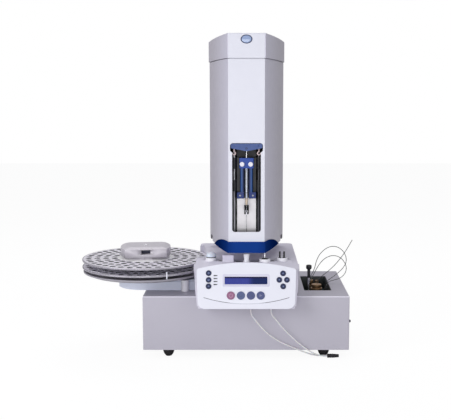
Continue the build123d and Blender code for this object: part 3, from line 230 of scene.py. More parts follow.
# Plain finishes: the nodes that wear them, screen colour, roughness, scale and depth of the
# grain, and what else differs
for name, wearers, colour, rough, grain, depth, *more in (
    ("panel_plastic", "console_panel", (232, 233, 244), 0.36, 1600, 0.02, dict(tone=0.012)),
    ("arm_paint", "tray_arm", (218, 223, 240), 0.38, 900, 0.03),
    ("white_plastic", "station_cups support_post clamp_knobs syringe wash_funnel",
     (233, 232, 240), 0.35, 1500, 0.02),
    ("black_rubber", "rubber_feet drain_end", (24, 23, 27), 0.72, 1200, 0.12, dict(tone=0.12)),
    ("black_plastic", "power_inlet needle_guide station_pins port_cap",
     (27, 27, 32), 0.42, 1500, 0.05, dict(tone=0.08)),
    ("dark_plastic", "cover_screws", (70, 68, 78), 0.5, 1500, 0.05),
    ("motor_black", "valve_actuator turn_motor lift_motor", (40, 40, 44), 0.5, 900, 0.05,
     dict(metallic=0.6)),
    ("steel", "needle_port spindle needle valve_nuts", (196, 196, 202), 0.24, 1800, 0.01,
     dict(metallic=1.0, stretch=(1, 1, 9), tone=0.05)),
    ("rod_steel", "guide_rod", (158, 158, 164), 0.34, 1800, 0.01,
     dict(metallic=0.9, stretch=(1, 1, 9), tone=0.05)),
    ("screw_steel", "lead_screw", (84, 84, 90), 0.4, 2500, 0.02,
     dict(metallic=0.8, stretch=(1, 1, 14), tone=0.06)),
    ("turned_steel", "", (178, 178, 184), 0.3, 2500, 0.02,
     dict(metallic=1.0, stretch=(1, 1, 14), tone=0.06)),
    ("tube_steel", "", (112, 114, 113), 0.34, 1800, 0.01,
     dict(metallic=0.85, tone=0.08, blotch=70)),
    ("bright_steel", "plunger_rod", (236, 236, 240), 0.16, 900, 0.01,
     dict(metallic=0.8, tone=0.02)),
    ("bronze", "valve_head", (172, 138, 104), 0.34, 1500, 0.02,
     dict(metallic=0.9, tone=0.1, blotch=60)),
    ("brass", "", (188, 150, 96), 0.28, 1500, 0.01, dict(metallic=1.0)),
    ("teal_plastic", "", (48, 88, 92), 0.4, 1500, 0.02),
    ("board_green", "", (44, 74, 62), 0.45, 2200, 0.05, dict(tone=0.2, blotch=160)),
    ("bay_liner", "", (54, 60, 60), 0.5, 900, 0.05, dict(tone=0.12, blotch=40)),
    # Grey for painted shade in the station channel
    ("lining_grey", "", (112, 109, 120), 0.5, 900, 0.04, dict(tone=0.12, blotch=90)),
    ("plate_blue", "plunger_plate", (48, 70, 124), 0.36, 900, 0.02,
     dict(metallic=0.25, stretch=(9, 1, 1))),
    ("rim_metal", "", (164, 161, 171), 0.36, 1500, 0.01, dict(metallic=0.5)),
    ("dish_metal", "tray_dish", (158, 155, 164), 0.44, 900, 0.03,
     dict(metallic=0.1, tone=0.08, blotch=24)),
    # Near-white, a painted reflection, worn by the disc at the hub cover's foot
    ("disc_white", "", (255, 255, 255), 0.3, 900, 0.005, dict(tone=0.0, Coat_Weight=0.4)),
    ("key_navy", "", (30, 40, 80), 0.4, 1600, 0.03),
    ("key_blue", "", (84, 96, 138), 0.4, 1600, 0.03),
    ("key_slate", "", (76, 84, 130), 0.4, 1600, 0.03),
    ("key_red", "", (148, 98, 132), 0.4, 1600, 0.03),
    ("mark_dim", "", (120, 134, 178), 0.4, 1500, 0.01),
    ("mark_dark", "status_leds", (54, 56, 70), 0.5, 1500, 0.01),
    # Near-black blue, painted as the shade in a hole or slot
    ("mark_hole", "", (20, 24, 52), 0.5, 1500, 0.01),
    ("mark_red", "", (196, 150, 176), 0.4, 1500, 0.01),
    ("mark_soft", "", (70, 82, 118), 0.4, 1500, 0.01),
    ("mark_slate", "", (122, 124, 158), 0.4, 1500, 0.01),
    ("bezel_lilac", "", (214, 213, 232), 0.4, 1600, 0.01),
    ("beige", "", (214, 196, 176), 0.45, 1500, 0.02),
    ("clip_pink", "", (228, 205, 205), 0.36, 1500, 0.01),
    ("badge_dome", "", (150, 168, 205), 0.16, 1500, 0.005, dict(Coat_Weight=0.6)),
    ("pale_dome", "wash_cap", (214, 219, 233), 0.24, 1500, 0.005, dict(Subsurface_Weight=0.12)),
    ("clear_glass", "", (236, 240, 244), 0.04, 700, 0.0,
     dict(spread=0.02, tone=0.01, Transmission_Weight=1.0, IOR=1.2)),
    ("soft_tube", "", (236, 232, 232), 0.3, 1500, 0.005,
     dict(Transmission_Weight=0.12, IOR=1.38, Subsurface_Weight=0.15)),
):
    Finish(name, wearers).surface(tint(*colour), rough, grain=grain, depth=depth, **dict(*more))

# Finishes whose colour changes with the place on the piece, in metres, or with its normal; several
# of them paint in shade and highlights
THIN = 0.0001

make = Finish("sheet_paint", "box_cover box_base")
up = make.axes("Normal")[2]
# Painted shade: faces that look into the box, neither outward nor up, are painted dark grey
seen = make.ramp(make.maths("MAXIMUM", make.outward(AXIS_X, FACE_Y + 0.145), up), -THIN, THIN)
# Painted highlight: the bend along the top front edge, which looks forward and up, is painted
# lighter
forward = make.maths("MULTIPLY", make.axes("Normal")[1], -1.0)
fold_highlight = make.ramp(make.maths("MINIMUM", forward, up), 0.12, 0.3)
painted = make.mix(fold_highlight, tint(184, 181, 193), tint(226, 224, 236))
make.surface(make.mix(seen, tint(60, 59, 64), painted), 0.42, grain=900, depth=0.03, tone=0.02)

make = Finish("tower_paint", "tower_shell tower_cap")
# Painted shade: faces that look into the tower are painted near black, all but the cap's roof
seen = make.ramp(make.outward(AXIS_X, FACE_Y + 0.120), -THIN, THIN)
roof = make.maths("MINIMUM", make.ramp(make.axes("Normal")[2], 0.3, 0.4),
                  make.ramp(make.axes()[2], 0.66, 0.661))
flank = make.ramp(make.beside(), 0.0388, 0.0398)
# The flanks are grey against the white front facet; the grey darkens away from the facet as painted
# shade
flank_grey_shaded = make.mix(make.ramp(make.beside(), 0.040, 0.076), tint(199, 197, 213),
                      tint(178, 174, 186))
two_tone_and_shade = make.mix(flank, tint(219, 220, 231), flank_grey_shaded)
make.surface(make.mix(make.maths("MAXIMUM", seen, roof), tint(22, 22, 28), two_tone_and_shade), 0.34,
             grain=1100, depth=0.02, tone=0.015)

make = Finish("nose_blue", "tower_nose")
# Painted shade: the nose's ends are painted a darker blue than its middle
ends = make.smooth(make.beside(), 0.020, 0.066)
make.surface(make.mix(ends, tint(24, 59, 134), tint(4, 29, 82)), 0.42, tone=0.05, grain=1500,
             depth=0.01, Specular_IOR_Level=0.0)

make = Finish("housing_plastic")
sideways = make.ramp(make.maths("ABSOLUTE", make.axes("Normal")[0]), 0.35, 0.85)
flank = make.maths("MULTIPLY", make.ramp(make.beside(), 0.096, 0.106), sideways)
make.surface(make.mix(flank, tint(212, 209, 223), tint(182, 179, 198)), 0.5, grain=1300,
             depth=0.06, tone=0.02)

make = Finish("block_plastic", "reservoir_block")
above = make.ramp(make.axes()[2], 0.2238, 0.2242)
make.surface(make.mix(above, tint(206, 203, 217), tint(200, 196, 216)), 0.42, grain=1400,
             depth=0.04)

make = Finish("carriage_paint", "carriage")
wide = make.ramp(make.beside(), 0.0209, 0.0211)
behind = make.ramp(make.axes()[1], FACE_Y + 0.0075, FACE_Y + 0.0078)
# Painted shading on each column: a highlight down its middle, shade at its edges
column = make.maths("ABSOLUTE", make.maths("SUBTRACT", make.beside(), 0.0105))
column_shading = make.mix(make.smooth(column, 0.0008, 0.0034), tint(28, 74, 138), tint(10, 28, 74))
blue = make.mix(make.under(make.axes()[2], 0.4262, 0.4266), tint(24, 66, 156), column_shading)
blue = make.mix(make.under(make.axes()[2], 0.3750, 0.3756), blue, tint(14, 44, 112))
make.surface(make.mix(make.maths("MAXIMUM", wide, behind), blue, tint(34, 35, 42)), 0.36,
             grain=1500, depth=0.02, tone=0.05, Specular_IOR_Level=0.35)

make = Finish("frame_paint", "back_plate")
above = make.ramp(make.axes()[2], 0.3998, 0.4002)
make.surface(make.mix(above, tint(252, 249, 253), tint(30, 30, 35)), 0.42, metallic=0.4,
             grain=900, depth=0.02, stretch=(1, 1, 5), tone=0.03)

# Painted shadow of the panel's groove: dark at the sides, light in the middle
make = Finish("groove_shadow_paint")
shadow_strength = make.smooth(make.beside(), 0.026, 0.046)
make.surface(make.mix(shadow_strength, tint(200, 202, 216), tint(80, 80, 96)), 0.5, grain=900,
             depth=0.01, tone=0.1, blotch=200)

make = Finish("rack_metal", "tray_plate_lower tray_plate_upper")
out = make.radius(TRAY_X, TRAY_Y)
# Painted shade: the walls of the vial holes are painted dark, and the lower plate is painted darker
# where the upper plate covers it
wall = make.under(make.maths("ABSOLUTE", make.axes("Normal")[2]), 0.5, 0.6)
hole_wall_shade = make.maths("MULTIPLY", wall, make.under(out, 0.1445, 0.1447))
shade_under_upper = make.maths("MULTIPLY", make.under(make.axes()[2], 0.1960, 0.1962),
                     make.under(out, 0.128, 0.1445))
plate_grey_and_shade = make.mix(shade_under_upper, tint(240, 237, 246), tint(158, 155, 170))
make.surface(make.mix(hole_wall_shade, plate_grey_and_shade, tint(34, 31, 50)), 0.34, metallic=0.2, grain=700,
             depth=0.01, tone=0.02, blotch=24)

make = Finish("socket_metal")
level = make.axes()[2]
plate_top = make.ramp(level, 0.1960, 0.1962, 0.1905, 0.2075)
# Painted shade: the socket rims below each plate's top are painted dark, down into the holes
sunk_shade = make.under(make.maths("SUBTRACT", level, plate_top), -0.00002, 0.00002)
make.surface(make.mix(sunk_shade, tint(236, 234, 240), tint(36, 33, 52)), 0.24, metallic=0.7,
             grain=1500, depth=0.005)

make = Finish("hub_metal", "hub_cover")
# Painted light: faces that look up are painted lighter than the cover's sides
lit_crown = make.ramp(make.axes("Normal")[2], 0.2, 0.7)
make.surface(make.mix(lit_crown, tint(196, 192, 200), tint(214, 210, 217)), 0.34, metallic=0.15,
             stretch=(7, 1, 1), grain=700, depth=0.02, tone=0.03)

# The display: a grid of faint cells, darker to the right, with a dark band at the top
make = Finish("liquid_crystal", "display")
across, _, rise = make.axes()
screen_mid = middle("display")[0]
shadow = make.smooth(across, screen_mid + 0.001, screen_mid + 0.019)
body = make.mix(shadow, tint(60, 70, 154), tint(18, 38, 94))
cells = make.node("ShaderNodeTexBrick", {
    "Scale": 1.0, "Brick Width": 0.0041, "Row Height": 0.0066, "Mortar Size": 0.00028,
    "Mortar Smooth": 0.3, "Color1": (1, 1, 1, 1), "Color2": (0.86, 0.86, 0.9, 1),
    "Mortar": (0.72, 0.72, 0.8, 1),
    "Vector": make.node("ShaderNodeCombineXYZ", {0: across, 1: rise}).outputs[0],
}, offset=0.0).outputs["Color"]
gridded = make.mix(0.8, body, cells, "MULTIPLY")
make.surface(make.mix(make.smooth(rise, 0.1858, 0.1888), gridded, tint(22, 20, 62)), 0.2,
             spread=0.02, depth=0.0, tone=0.03, Specular_IOR_Level=0.35)

# Keys: across and down on the panel and the radius, in millimetres, and the finish
KEYS = {"button_" + name: key for name, *key in (
    ("left_upper", -82.8, 23.9, 6, "key_navy"), ("left_middle", -82.8, 38.7, 6, "key_navy"),
    ("left_lower", -82.8, 52.6, 6, "key_navy"), ("pad_up", 80, 24.4, 6, "key_navy"),
    ("pad_left", 71.7, 38.6, 6, "key_navy"), ("pad_right", 88.3, 38.6, 6, "key_navy"),
    ("pad_down", 80, 52.8, 6, "key_navy"), ("row_first", -34.2, 72.8, 8.8, "key_red"),
    ("row_second", -12.2, 72.8, 8.8, "key_blue"), ("row_third", 9.6, 72.8, 8.8, "key_slate"),
    ("row_fourth", 31, 72.8, 8.8, "key_slate"),
)}

for name, key in KEYS.items():
    worn[name] = key[3]
for name, node in nodes.items():
    node.data.materials.clear()
    node.data.materials.append(paints[worn.get(name, "housing_plastic")])


# ---- meshes

def linked(name, data):
    """An object in the scene."""
    made = bpy.data.objects.new(name, data)
    bpy.context.scene.collection.objects.link(made)
    return made


def from_bmesh(name, work):
    bmesh.ops.recalc_face_normals(work, faces=work.faces)
    mesh = bpy.data.meshes.new(name)
    work.to_mesh(mesh)
    work.free()
    return mesh


def new_piece(name, form, material, body, sharp=SHARP):
    """A mesh or a bmesh as an object, smooth but for its sharp edges, riding on a body."""
    mesh = form if isinstance(form, bpy.types.Mesh) else from_bmesh(name, form)
    mesh.shade_smooth()
    mesh.set_sharp_from_angle(angle=math.radians(sharp))
    mesh.materials.append(paints[material])
    piece = linked(name, mesh)
    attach(piece, body)
    return piece


def point(work, matrix, x, y, z):
    """A bmesh's vertex, from millimetres in a place's own axes."""
    return work.verts.new(matrix @ Vector((x * MM, y * MM, z * MM)))


def skin(work, rows, ends=True):
    """Faces from row to row, each row closed, and over both ends."""
    count = len(rows[0])
    for first, second in zip(rows, rows[1:]):
        for i in range(count):
            j = (i + 1) % count
            work.faces.new((first[i], first[j], second[j], second[i]))
    if ends:
        work.faces.new(rows[0][::-1])
        work.faces.new(rows[-1])


def lathe(work, profile, steps, matrix, arc=2 * math.pi):
    """A turned form from (radius, height) in millimetres, added to a bmesh."""
    count = steps if arc == 2 * math.pi else steps + 1
    rings = []
    for radius, height in profile:
        angles = [arc * step / steps for step in range(count)] if radius else [0.0]
        rings.append([point(work, matrix, radius * math.cos(a), radius * math.sin(a), height)
                      for a in angles])
    for low, high in zip(rings, rings[1:]):
        for a in range(steps):
            b = (a + 1) % count
            if len(low) == 1:
                work.faces.new((low[0], high[b], high[a]))
            elif len(high) == 1:
                work.faces.new((low[a], low[b], high[0]))
            else:
                work.faces.new((low[a], low[b], high[b], high[a]))


def turned(name, material, body, profile, *places, steps=36, sharp=SHARP):
    """A turned form at one or more places, as one piece."""
    work = bmesh.new()
    for place in places:
        lathe(work, profile, steps, place)
    return new_piece(name, work, material, body, sharp)


def prism(work, outline, low, high, matrix, rim=0.0):
    """An upright form over an outline in millimetres, with a small chamfer at its top."""
    centre = Vector((sum(p[0] for p in outline), sum(p[1] for p in outline))) / len(outline)
    rows = []
    for height, inward in ((low, 0), (high - rim, 0), (high, rim))[:3 if rim else 2]:
        row = []
        for corner in outline:
            away = Vector(corner) - centre
            here = centre + away * (1 - inward / away.length)
            row.append(point(work, matrix, here.x, here.y, height))
        rows.append(row)
    skin(work, rows)


def block(work, low, high, round_by, segments=2):
    """A box between two corners in metres, its edges rounded."""
    made = bmesh.ops.create_cube(work, size=1.0)["verts"]
    centre, size = (Vector(low) + Vector(high)) / 2, Vector(high) - Vector(low)
    for vert in made:
        vert.co = Vector((vert.co[i] * size[i] for i in range(3))) + centre
    edges = list({edge for vert in made for edge in vert.link_edges})
    bmesh.ops.bevel(work, geom=edges, offset=min(round_by * MM, min(size) * 0.45),
                    segments=segments, profile=0.5, affect="EDGES")


def blocks(name, boxes, material, body, round_by, matrix=AXIS):
    """Several rounded boxes as one piece, from corners in millimetres in a place's own axes."""
    work = bmesh.new()
    for low, high in boxes:
        block(work, Vector(low) * MM, Vector(high) * MM, round_by)
    bmesh.ops.transform(work, matrix=matrix, verts=work.verts)
    return new_piece(name, work, material, body)


def arc_points(radius, start, end, count=24, centre=(0.0, 0.0)):
    """Points along an arc, between two angles in degrees."""
    angles = [math.radians(start + (end - start) * i / count) for i in range(count + 1)]
    return [(centre[0] + radius * math.cos(a), centre[1] + radius * math.sin(a)) for a in angles]


def polygon(radius, sides):
    return arc_points(radius, 0, 360, sides)[:-1]


def rounded(half_w, half_h, radius, count=6):
    """A rectangle's outline with rounded corners."""
    out = []
    for start, x, y in ((0, 1, 1), (90, -1, 1), (180, -1, -1), (270, 1, -1)):
        out += arc_points(radius, start, start + 90, count,
                          (x * (half_w - radius), y * (half_h - radius)))
    return out


def carved(name, node, material, body, added=(), cut=(), matrix=Matrix.Identity(4), widen=None):
    """A piece in a node's form, with small solids added and others cut away."""
    piece = linked(name, nodes[node].data.copy())
    piece.modifiers.new("weld", "WELD").merge_threshold = WELD
    tools = []
    for operation, meshes in (("UNION", added), ("DIFFERENCE", cut)):
        for mesh in meshes:
            tools.append(linked("tool", mesh))
            step = piece.modifiers.new("shape", "BOOLEAN")
            step.operation = operation
            step.solver = "EXACT"
            step.object = tools[-1]
    shaped = bpy.data.meshes.new_from_object(
        piece.evaluated_get(bpy.context.evaluated_depsgraph_get()))
    for spare in [piece] + tools:
        bpy.data.objects.remove(spare)
    shaped.transform(matrix)
    if widen:
        for vert in shaped.vertices:
            vert.co.x = widen(vert.co)
    shaped.materials.clear()
    made = new_piece(name, shaped, material, body)
    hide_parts(node)
    flat = made.modifiers.new("flat", "WEIGHTED_NORMAL")
    flat.keep_sharp = True


# ---- tubes, as control points in metres

drain_place = (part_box("drain_end")[0].x, *middle("drain_end")[1:])
drain_fitting = turned("drain_fitting", "black_rubber", "base", [
    (0, 0), (3.9, 0), (4.5, 0.6), (4.5, 4), (4.1, 4.4), (4.1, 5.4), (4.5, 5.8), (4.5, 8.4),
    (4.1, 8.8), (4.1, 9.8), (4.5, 10.2), (4.5, 13), (4.3, 14), (3.7, 22), (3.4, 26), (0, 26),
], facing_way(drain_place, (1, 0, 0)), steps=40)
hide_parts("drain_end")

CAPILLARY = 0.0016
DRAIN = 0.003
for name, node, diameter, material, length, far_end, stiffness, lay, pieces, points in (
    ("tube_outer", "outer_loop", CAPILLARY, "tube_steel", 0.2785, "object", "stiff", "loose", (), [
        (0.22413, 0.02597, 0.1226), (0.22047, 0.02808, 0.13054), (0.22205, 0.02841, 0.142),
        (0.22705, 0.02821, 0.154), (0.23355, 0.02771, 0.166), (0.23855, 0.02691, 0.179),
        (0.24155, 0.02641, 0.1935), (0.24755, 0.02541, 0.208), (0.25855, 0.02441, 0.221),
        (0.27255, 0.02341, 0.2295), (0.28855, 0.02291, 0.230), (0.30255, 0.02241, 0.2215),
        (0.31105, 0.02191, 0.2085), (0.31305, 0.02141, 0.1935), (0.30655, 0.02091, 0.180),
        (0.29555, 0.02041, 0.1685), (0.28255, 0.02091, 0.158), (0.27105, 0.02291, 0.1495),
        (0.26455, 0.02591, 0.141), (0.26263, 0.02808, 0.13054), (0.25897, 0.02597, 0.1226),
    ]),
    ("tube_inner", "inner_loop", CAPILLARY, "tube_steel", 0.2471, "object", "stiff", "loose", (), [
        (0.22413, 0.00586, 0.1226), (0.22047, 0.00374, 0.13054), (0.22205, 0.00441, 0.1415),
        (0.22755, 0.00691, 0.1535), (0.23455, 0.00991, 0.166), (0.24155, 0.01241, 0.179),
        (0.25005, 0.01391, 0.192), (0.26155, 0.01441, 0.2035), (0.27705, 0.01441, 0.210),
        (0.29355, 0.01391, 0.2075), (0.30605, 0.01291, 0.1965), (0.31255, 0.01191, 0.1815),
        (0.30905, 0.01041, 0.1665), (0.29755, 0.00891, 0.156), (0.28305, 0.00791, 0.152),
        (0.27005, 0.00691, 0.1485), (0.26405, 0.00541, 0.1405), (0.26263, 0.00374, 0.13054),
        (0.25897, 0.00586, 0.1226),
    ]),
    ("tube_free", "free_capillary", CAPILLARY, "tube_steel", 0.1542, "bare", "stiff", "loose", (), [
        (0.24155, 0.03602, 0.1226), (0.24155, 0.04025, 0.13054), (0.24405, 0.04141, 0.1415),
        (0.25205, 0.03941, 0.151), (0.26255, 0.03641, 0.1605), (0.27455, 0.03291, 0.1715),
        (0.28605, 0.02991, 0.1835), (0.29705, 0.02741, 0.1975), (0.30755, 0.02591, 0.2125),
        (0.31705, 0.02491, 0.2285), (0.32605, 0.02441, 0.245),
    ]),
    ("tube_drain_left", "drain_tube_left", DRAIN, "soft_tube", 0.219, "fitting",
     "medium", "hanging", ("drain_fitting",), [
        (0.08485, -0.13909, 0.116), (0.08485, -0.13909, 0.105), (0.09355, -0.13859, 0.094),
        (0.10655, -0.13659, 0.0765), (0.12455, -0.13459, 0.058), (0.14505, -0.13309, 0.0435),
        (0.16655, -0.13159, 0.0325), (0.18905, -0.12959, 0.023), (0.21005, -0.12609, 0.0135),
        (0.22905, -0.12009, 0.0065), (0.24555, -0.11429, 0.0045), (0.25655, -0.11429, 0.0045),
    ]),
    ("tube_drain_right", "drain_tube_right", DRAIN, "soft_tube", 0.1788, "fitting",
     "medium", "hanging", ("drain_fitting",), [
        (0.12955, -0.13909, 0.116), (0.12955, -0.13909, 0.105), (0.14005, -0.13859, 0.0935),
        (0.15505, -0.13659, 0.074), (0.17205, -0.13459, 0.056), (0.19005, -0.13259, 0.0385),
        (0.20905, -0.13009, 0.0235), (0.22755, -0.12559, 0.011), (0.24555, -0.11889, 0.0045),
        (0.25655, -0.11889, 0.0045),
    ]),
):
    line = bpy.data.curves.new(name, "CURVE")
    line.dimensions = "3D"
    line.bevel_depth = diameter / 2
    line.bevel_resolution = 5
    line.use_fill_caps = True
    line.resolution_u = 12
    spline = line.splines.new("NURBS")
    spline.points.add(len(points) - 1)
    for control, place in zip(spline.points, points):
        control.co = (*place, 1.0)
    spline.order_u = 3
    spline.use_endpoint_u = True
    line.materials.append(paints[material])
    piece = linked(name, line)
    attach(piece, "base")
    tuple(points[0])
    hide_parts(node)

# ---- details on the tower


def cross_screw(work, matrix, radius, height):
    """A domed screw head with a cross recess."""
    lathe(work, [(radius * across, height * up) for across, up in (
        (0.94, 0), (1, 0.25), (0.97, 0.55), (0.82, 0.85), (0.55, 1), (0.5, 0.5), (0, 0.45))],
        28, matrix)
    arm, half = radius * 0.5, radius * 0.13
    for turn in (0.0, math.pi / 2):
        prism(work, [(-arm, -half), (arm, -half), (arm, half), (-arm, half)],
              height * 0.4, height * 0.62, matrix @ turned_by(turn))


def screws(name, material, body, radius, height, *places):
    work = bmesh.new()
    for place in places:
        cross_screw(work, place, radius, height)
    new_piece(name, work, material, body)


def knurled(work, profile, matrix, count, depth):
    """A turned form whose sides are ribbed where the profile is widest."""
    widest = max(radius for radius, height in profile)
    rows = []
    for radius, height in profile:
        row = []
        for step in range(count):
            a = 2 * math.pi * step / count
            out = radius - (depth if radius > widest - 0.05 and step % 2 else 0.0)
            row.append(point(work, matrix, out * math.cos(a), out * math.sin(a), height))
        rows.append(row)
    skin(work, rows)


BADGE = on_front(0, -20, 702) @ Matrix.Diagonal((1.36, 1.0, 1.0, 1.0))
turned("badge_rim", "key_navy", "tower", [
    (9.2, -0.2), (9.2, 0.5), (8.9, 0.9), (8.3, 1), (7.9, 0.8), (7.7, 0.3), (7.7, -0.2),
], BADGE, steps=56)
turned("badge_dome", "badge_dome", "tower", [
    (7.9, -0.2), (7.9, 0.25), (6.6, 0.6), (4.4, 0.95), (2.2, 1.12), (0, 1.18),
], BADGE, steps=56)

# Thread of the lead screw
THREAD_FOOT, THREAD_LENGTH, THREAD_PITCH, THREAD_STEPS = 253.0, 312, 2.5, 14
work = bmesh.new()
screw_axis = upright(27, 6, 0)
last = None
for step in range(int(THREAD_LENGTH / THREAD_PITCH) * THREAD_STEPS + 1):
    a = 2 * math.pi * step / THREAD_STEPS
    height = THREAD_FOOT + THREAD_PITCH * step / THREAD_STEPS
    ring = [point(work, screw_axis, out * math.cos(a), out * math.sin(a),
                  height + up * THREAD_PITCH)
            for out, up in ((2.9, -0.4), (3.28, -0.12), (3.28, 0.12), (2.9, 0.4))]
    if last:
        for i in range(3):
            work.faces.new((last[i], ring[i], ring[i + 1], last[i + 1]))
    last = ring
new_piece("screw_thread", work, "screw_steel", "screw", 60.0)

# Wire clips under the ends of the driver plate: an open ring below a straight pin
RING_R, WIRE_R, RING_STEPS, WIRE_SIDES = 3.3, 1.15, 30, 10
for side, name in ((-1, "clip_left"), (1, "clip_right")):
    work = bmesh.new()
    middle_z = 459.6
    centre = spot(side * 27, -9.5, middle_z)
    rows = []
    for step in range(RING_STEPS + 1):
        a = math.radians(90 + side * 285 * step / RING_STEPS)
        out = Vector((math.cos(a), 0, math.sin(a)))
        rows.append([work.verts.new(centre + (
            out * (RING_R + WIRE_R * math.cos(b)) + Vector((0, WIRE_R * math.sin(b), 0))) * MM)
            for b in (2 * math.pi * part / WIRE_SIDES for part in range(WIRE_SIDES))])
    skin(work, rows)
    lathe(work, [(0, 0), (WIRE_R, 0), (WIRE_R, 8.2), (0, 8.2)], 16,
          upright(side * 27, -9.5, middle_z + RING_R))
    new_piece(name, work, "clip_pink", "plunger")

# Painted shade: a dark dished eye stands for the hole in the driver plate
turned("driver_eye", "mark_hole", "plunger", [
    (2.2, 0), (2.2, 0.5), (1.9, 0.7), (1.3, 0.7), (1.2, 0.2), (0, 0.2),
], on_front(0, -14.6, 470.5), steps=24)
screws("driver_screws", "plate_blue", "plunger", 1.9, 0.9,
       *(on_front(x, -14.4, 476.3) for x in (-25.5, 25.5)))

work = bmesh.new()
for x in (-9.6, 8.9):
    knob = on_front(x, -8, 436)
    knurled(work, [
        (5, 0), (5.2, 0.5), (5.2, 3.3), (4.8, 4.1), (4, 4.5), (2.9, 4.5), (2.6, 3.9), (1.2, 3.8),
    ], knob, 40, 0.18)
    prism(work, [(-2.5, -0.35), (2.5, -0.35), (2.5, 0.35), (-2.5, 0.35)], 3.7, 4, knob)
knobs = new_piece("knurled_knobs", work, "white_plastic", "carriage")
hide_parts("clamp_knobs")

# Syringe: a glass barrel over its white plunger, with a scale and end fittings
glass = turned("syringe_glass", "clear_glass", "carriage", [
    (2.5, 361), (3.3, 361.2), (3.6, 361.8), (3.6, 444), (3.6, 448.4), (3.3, 449), (2.5, 449),
    (2.5, 361),
], AXIS, steps=40)
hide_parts("syringe")
work = bmesh.new()
lathe(work, [(0, 361.4), (2.3, 361.4), (2.3, 372.6), (0, 372.6)], 32, AXIS)
lathe(work, [(1.2, 373.8), (2.3, 373.8), (2.3, 447.6), (1.2, 447.6), (1.2, 373.8)], 32, AXIS)
new_piece("syringe_core", work, "white_plastic", "carriage")
turned("syringe_head", "steel", "carriage", [
    (1.3, 441), (4.6, 441), (4.7, 441.3), (4.7, 448.6), (4.3, 449.2), (1.3, 449.2), (1.3, 441),
], AXIS)
work = bmesh.new()
for index in range(24):
    arc = math.radians(36 if index % 5 else 64)
    lathe(work, [(3.56, 0), (3.66, 0.04), (3.66, 0.32), (3.56, 0.36)], 8,
          upright(0, 0, 377 + 2.5 * index) @ turned_by(-math.pi / 2 - arc / 2), arc)
new_piece("syringe_scale", work, "mark_dark", "carriage")

wire = turned("needle_wire", "steel", "carriage", [
    (0, 262), (0.14, 262.5), (0.5, 264.2), (0.5, 346.4), (0, 346.4),
], AXIS, steps=16)
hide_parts("needle")
work = bmesh.new()
knurled(work, [
    (1.3, 346), (2, 347.6), (2.3, 350), (2.6, 352.6), (3, 353.2), (3, 359.8), (2.7, 360.7),
    (1.4, 361),
], AXIS, 28, 0.16)
new_piece("needle_hub", work, "beige", "carriage")

# Needle guide: a fork round the hub's foot and an eye below it, on a strut from the web
guide = turned("guide_eye", "black_plastic", "carriage", [
    (0.7, 326), (4.6, 326), (5.2, 326.6), (5.2, 329.4), (4.8, 330), (2.4, 330), (1.6, 328.6),
    (0.7, 328.2), (0.7, 326),
], AXIS, steps=40)
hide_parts("needle_guide")
work = bmesh.new()
fork_arc = math.radians(282)
fork = AXIS @ turned_by(-math.pi / 2 + (2 * math.pi - fork_arc) / 2)
fork_profile = [(3.4, 334.6), (4.8, 334.6), (5.2, 335), (5.2, 345.4), (4.8, 346), (3.4, 346),
                (3.4, 334.6)]
lathe(work, fork_profile, 36, fork, fork_arc)
for a in (0.0, fork_arc):
    section = [point(work, fork, r * math.cos(a), r * math.sin(a), h)
               for r, h in fork_profile[:-1]]
    work.faces.new(section if a else section[::-1])
block(work, spot(-5, 0, 329.4), spot(-3.4, 3.2, 335.2), 0.3)
block(work, spot(3.4, 0, 329.4), spot(5, 3.2, 335.2), 0.3)
new_piece("guide_fork", work, "black_plastic", "carriage")
work = bmesh.new()
block(work, spot(-2.5, 4.6, 326.4), spot(2.5, 12, 360.9), 0.5)
lathe(work, [(0, 325.4), (1.2, 325.4), (1.5, 325.8), (1.5, 330.4), (1.2, 330.8), (0, 330.8)],
      20, upright(0, -4.2, 0))
new_piece("guide_strut", work, "white_plastic", "carriage")

# Pinch screws in the carriage's feet
screws("foot_screws", "rod_steel", "carriage", 2.1, 1.0,
       *(on_front(x, -8, 367.6) for x in (-14, 14)))

# ---- details on the deck

WASH, PIN, TWIN = (Matrix.Translation(on_circle(x)) for x in (-79.0, 40.5, 79.0))
dome = turned("wash_dome", "pale_dome", "base", [
    (0, 220), (4.2, 220), (4.2, 227.6), (10.9, 227.6), (11.6, 228.2), (11.6, 229.8), (11.4, 231.4),
    (10.8, 233.2), (9.6, 235), (7.6, 236.7), (5, 237.9), (2.4, 238.45), (0, 238.6),
], WASH, steps=48, sharp=50.0)
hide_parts("wash_cap")
turned("wash_ring", "black_rubber", "base", [
    (4.3, 224), (9.8, 224), (10.6, 224.4), (10.6, 225.2), (10.3, 225.5), (10.3, 226.1),
    (10.6, 226.4), (10.6, 227.2), (10.1, 227.6), (4.3, 227.6),
], WASH, steps=48)

pin = turned("station_pin", "steel", "base", [
    (0, 219), (2, 219), (2, 238.4), (1.7, 239.1), (1, 239.5), (0, 239.5),
], PIN, steps=28)
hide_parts("station_pins")
turned("station_ring", "black_rubber", "base", [
    (2.1, 224), (6.6, 224), (7, 224.4), (7, 225.6), (6.4, 226.3), (3.4, 226.5), (2.8, 228.2),
    (2.1, 228.4), (2.1, 224),
], PIN)
turned("station_twins", "black_plastic", "base", [
    (0, 224), (3.4, 224), (3.5, 224.9), (2.9, 225.6), (2, 226.2), (2, 231), (1.75, 231.3),
    (1.75, 232.4), (2, 232.7), (2, 238.4), (1.6, 239.2), (0, 239.5),
], *(Matrix.Translation(Vector((x * MM, 0, 0))) @ TWIN for x in (-4.75, 4.75)), steps=24)

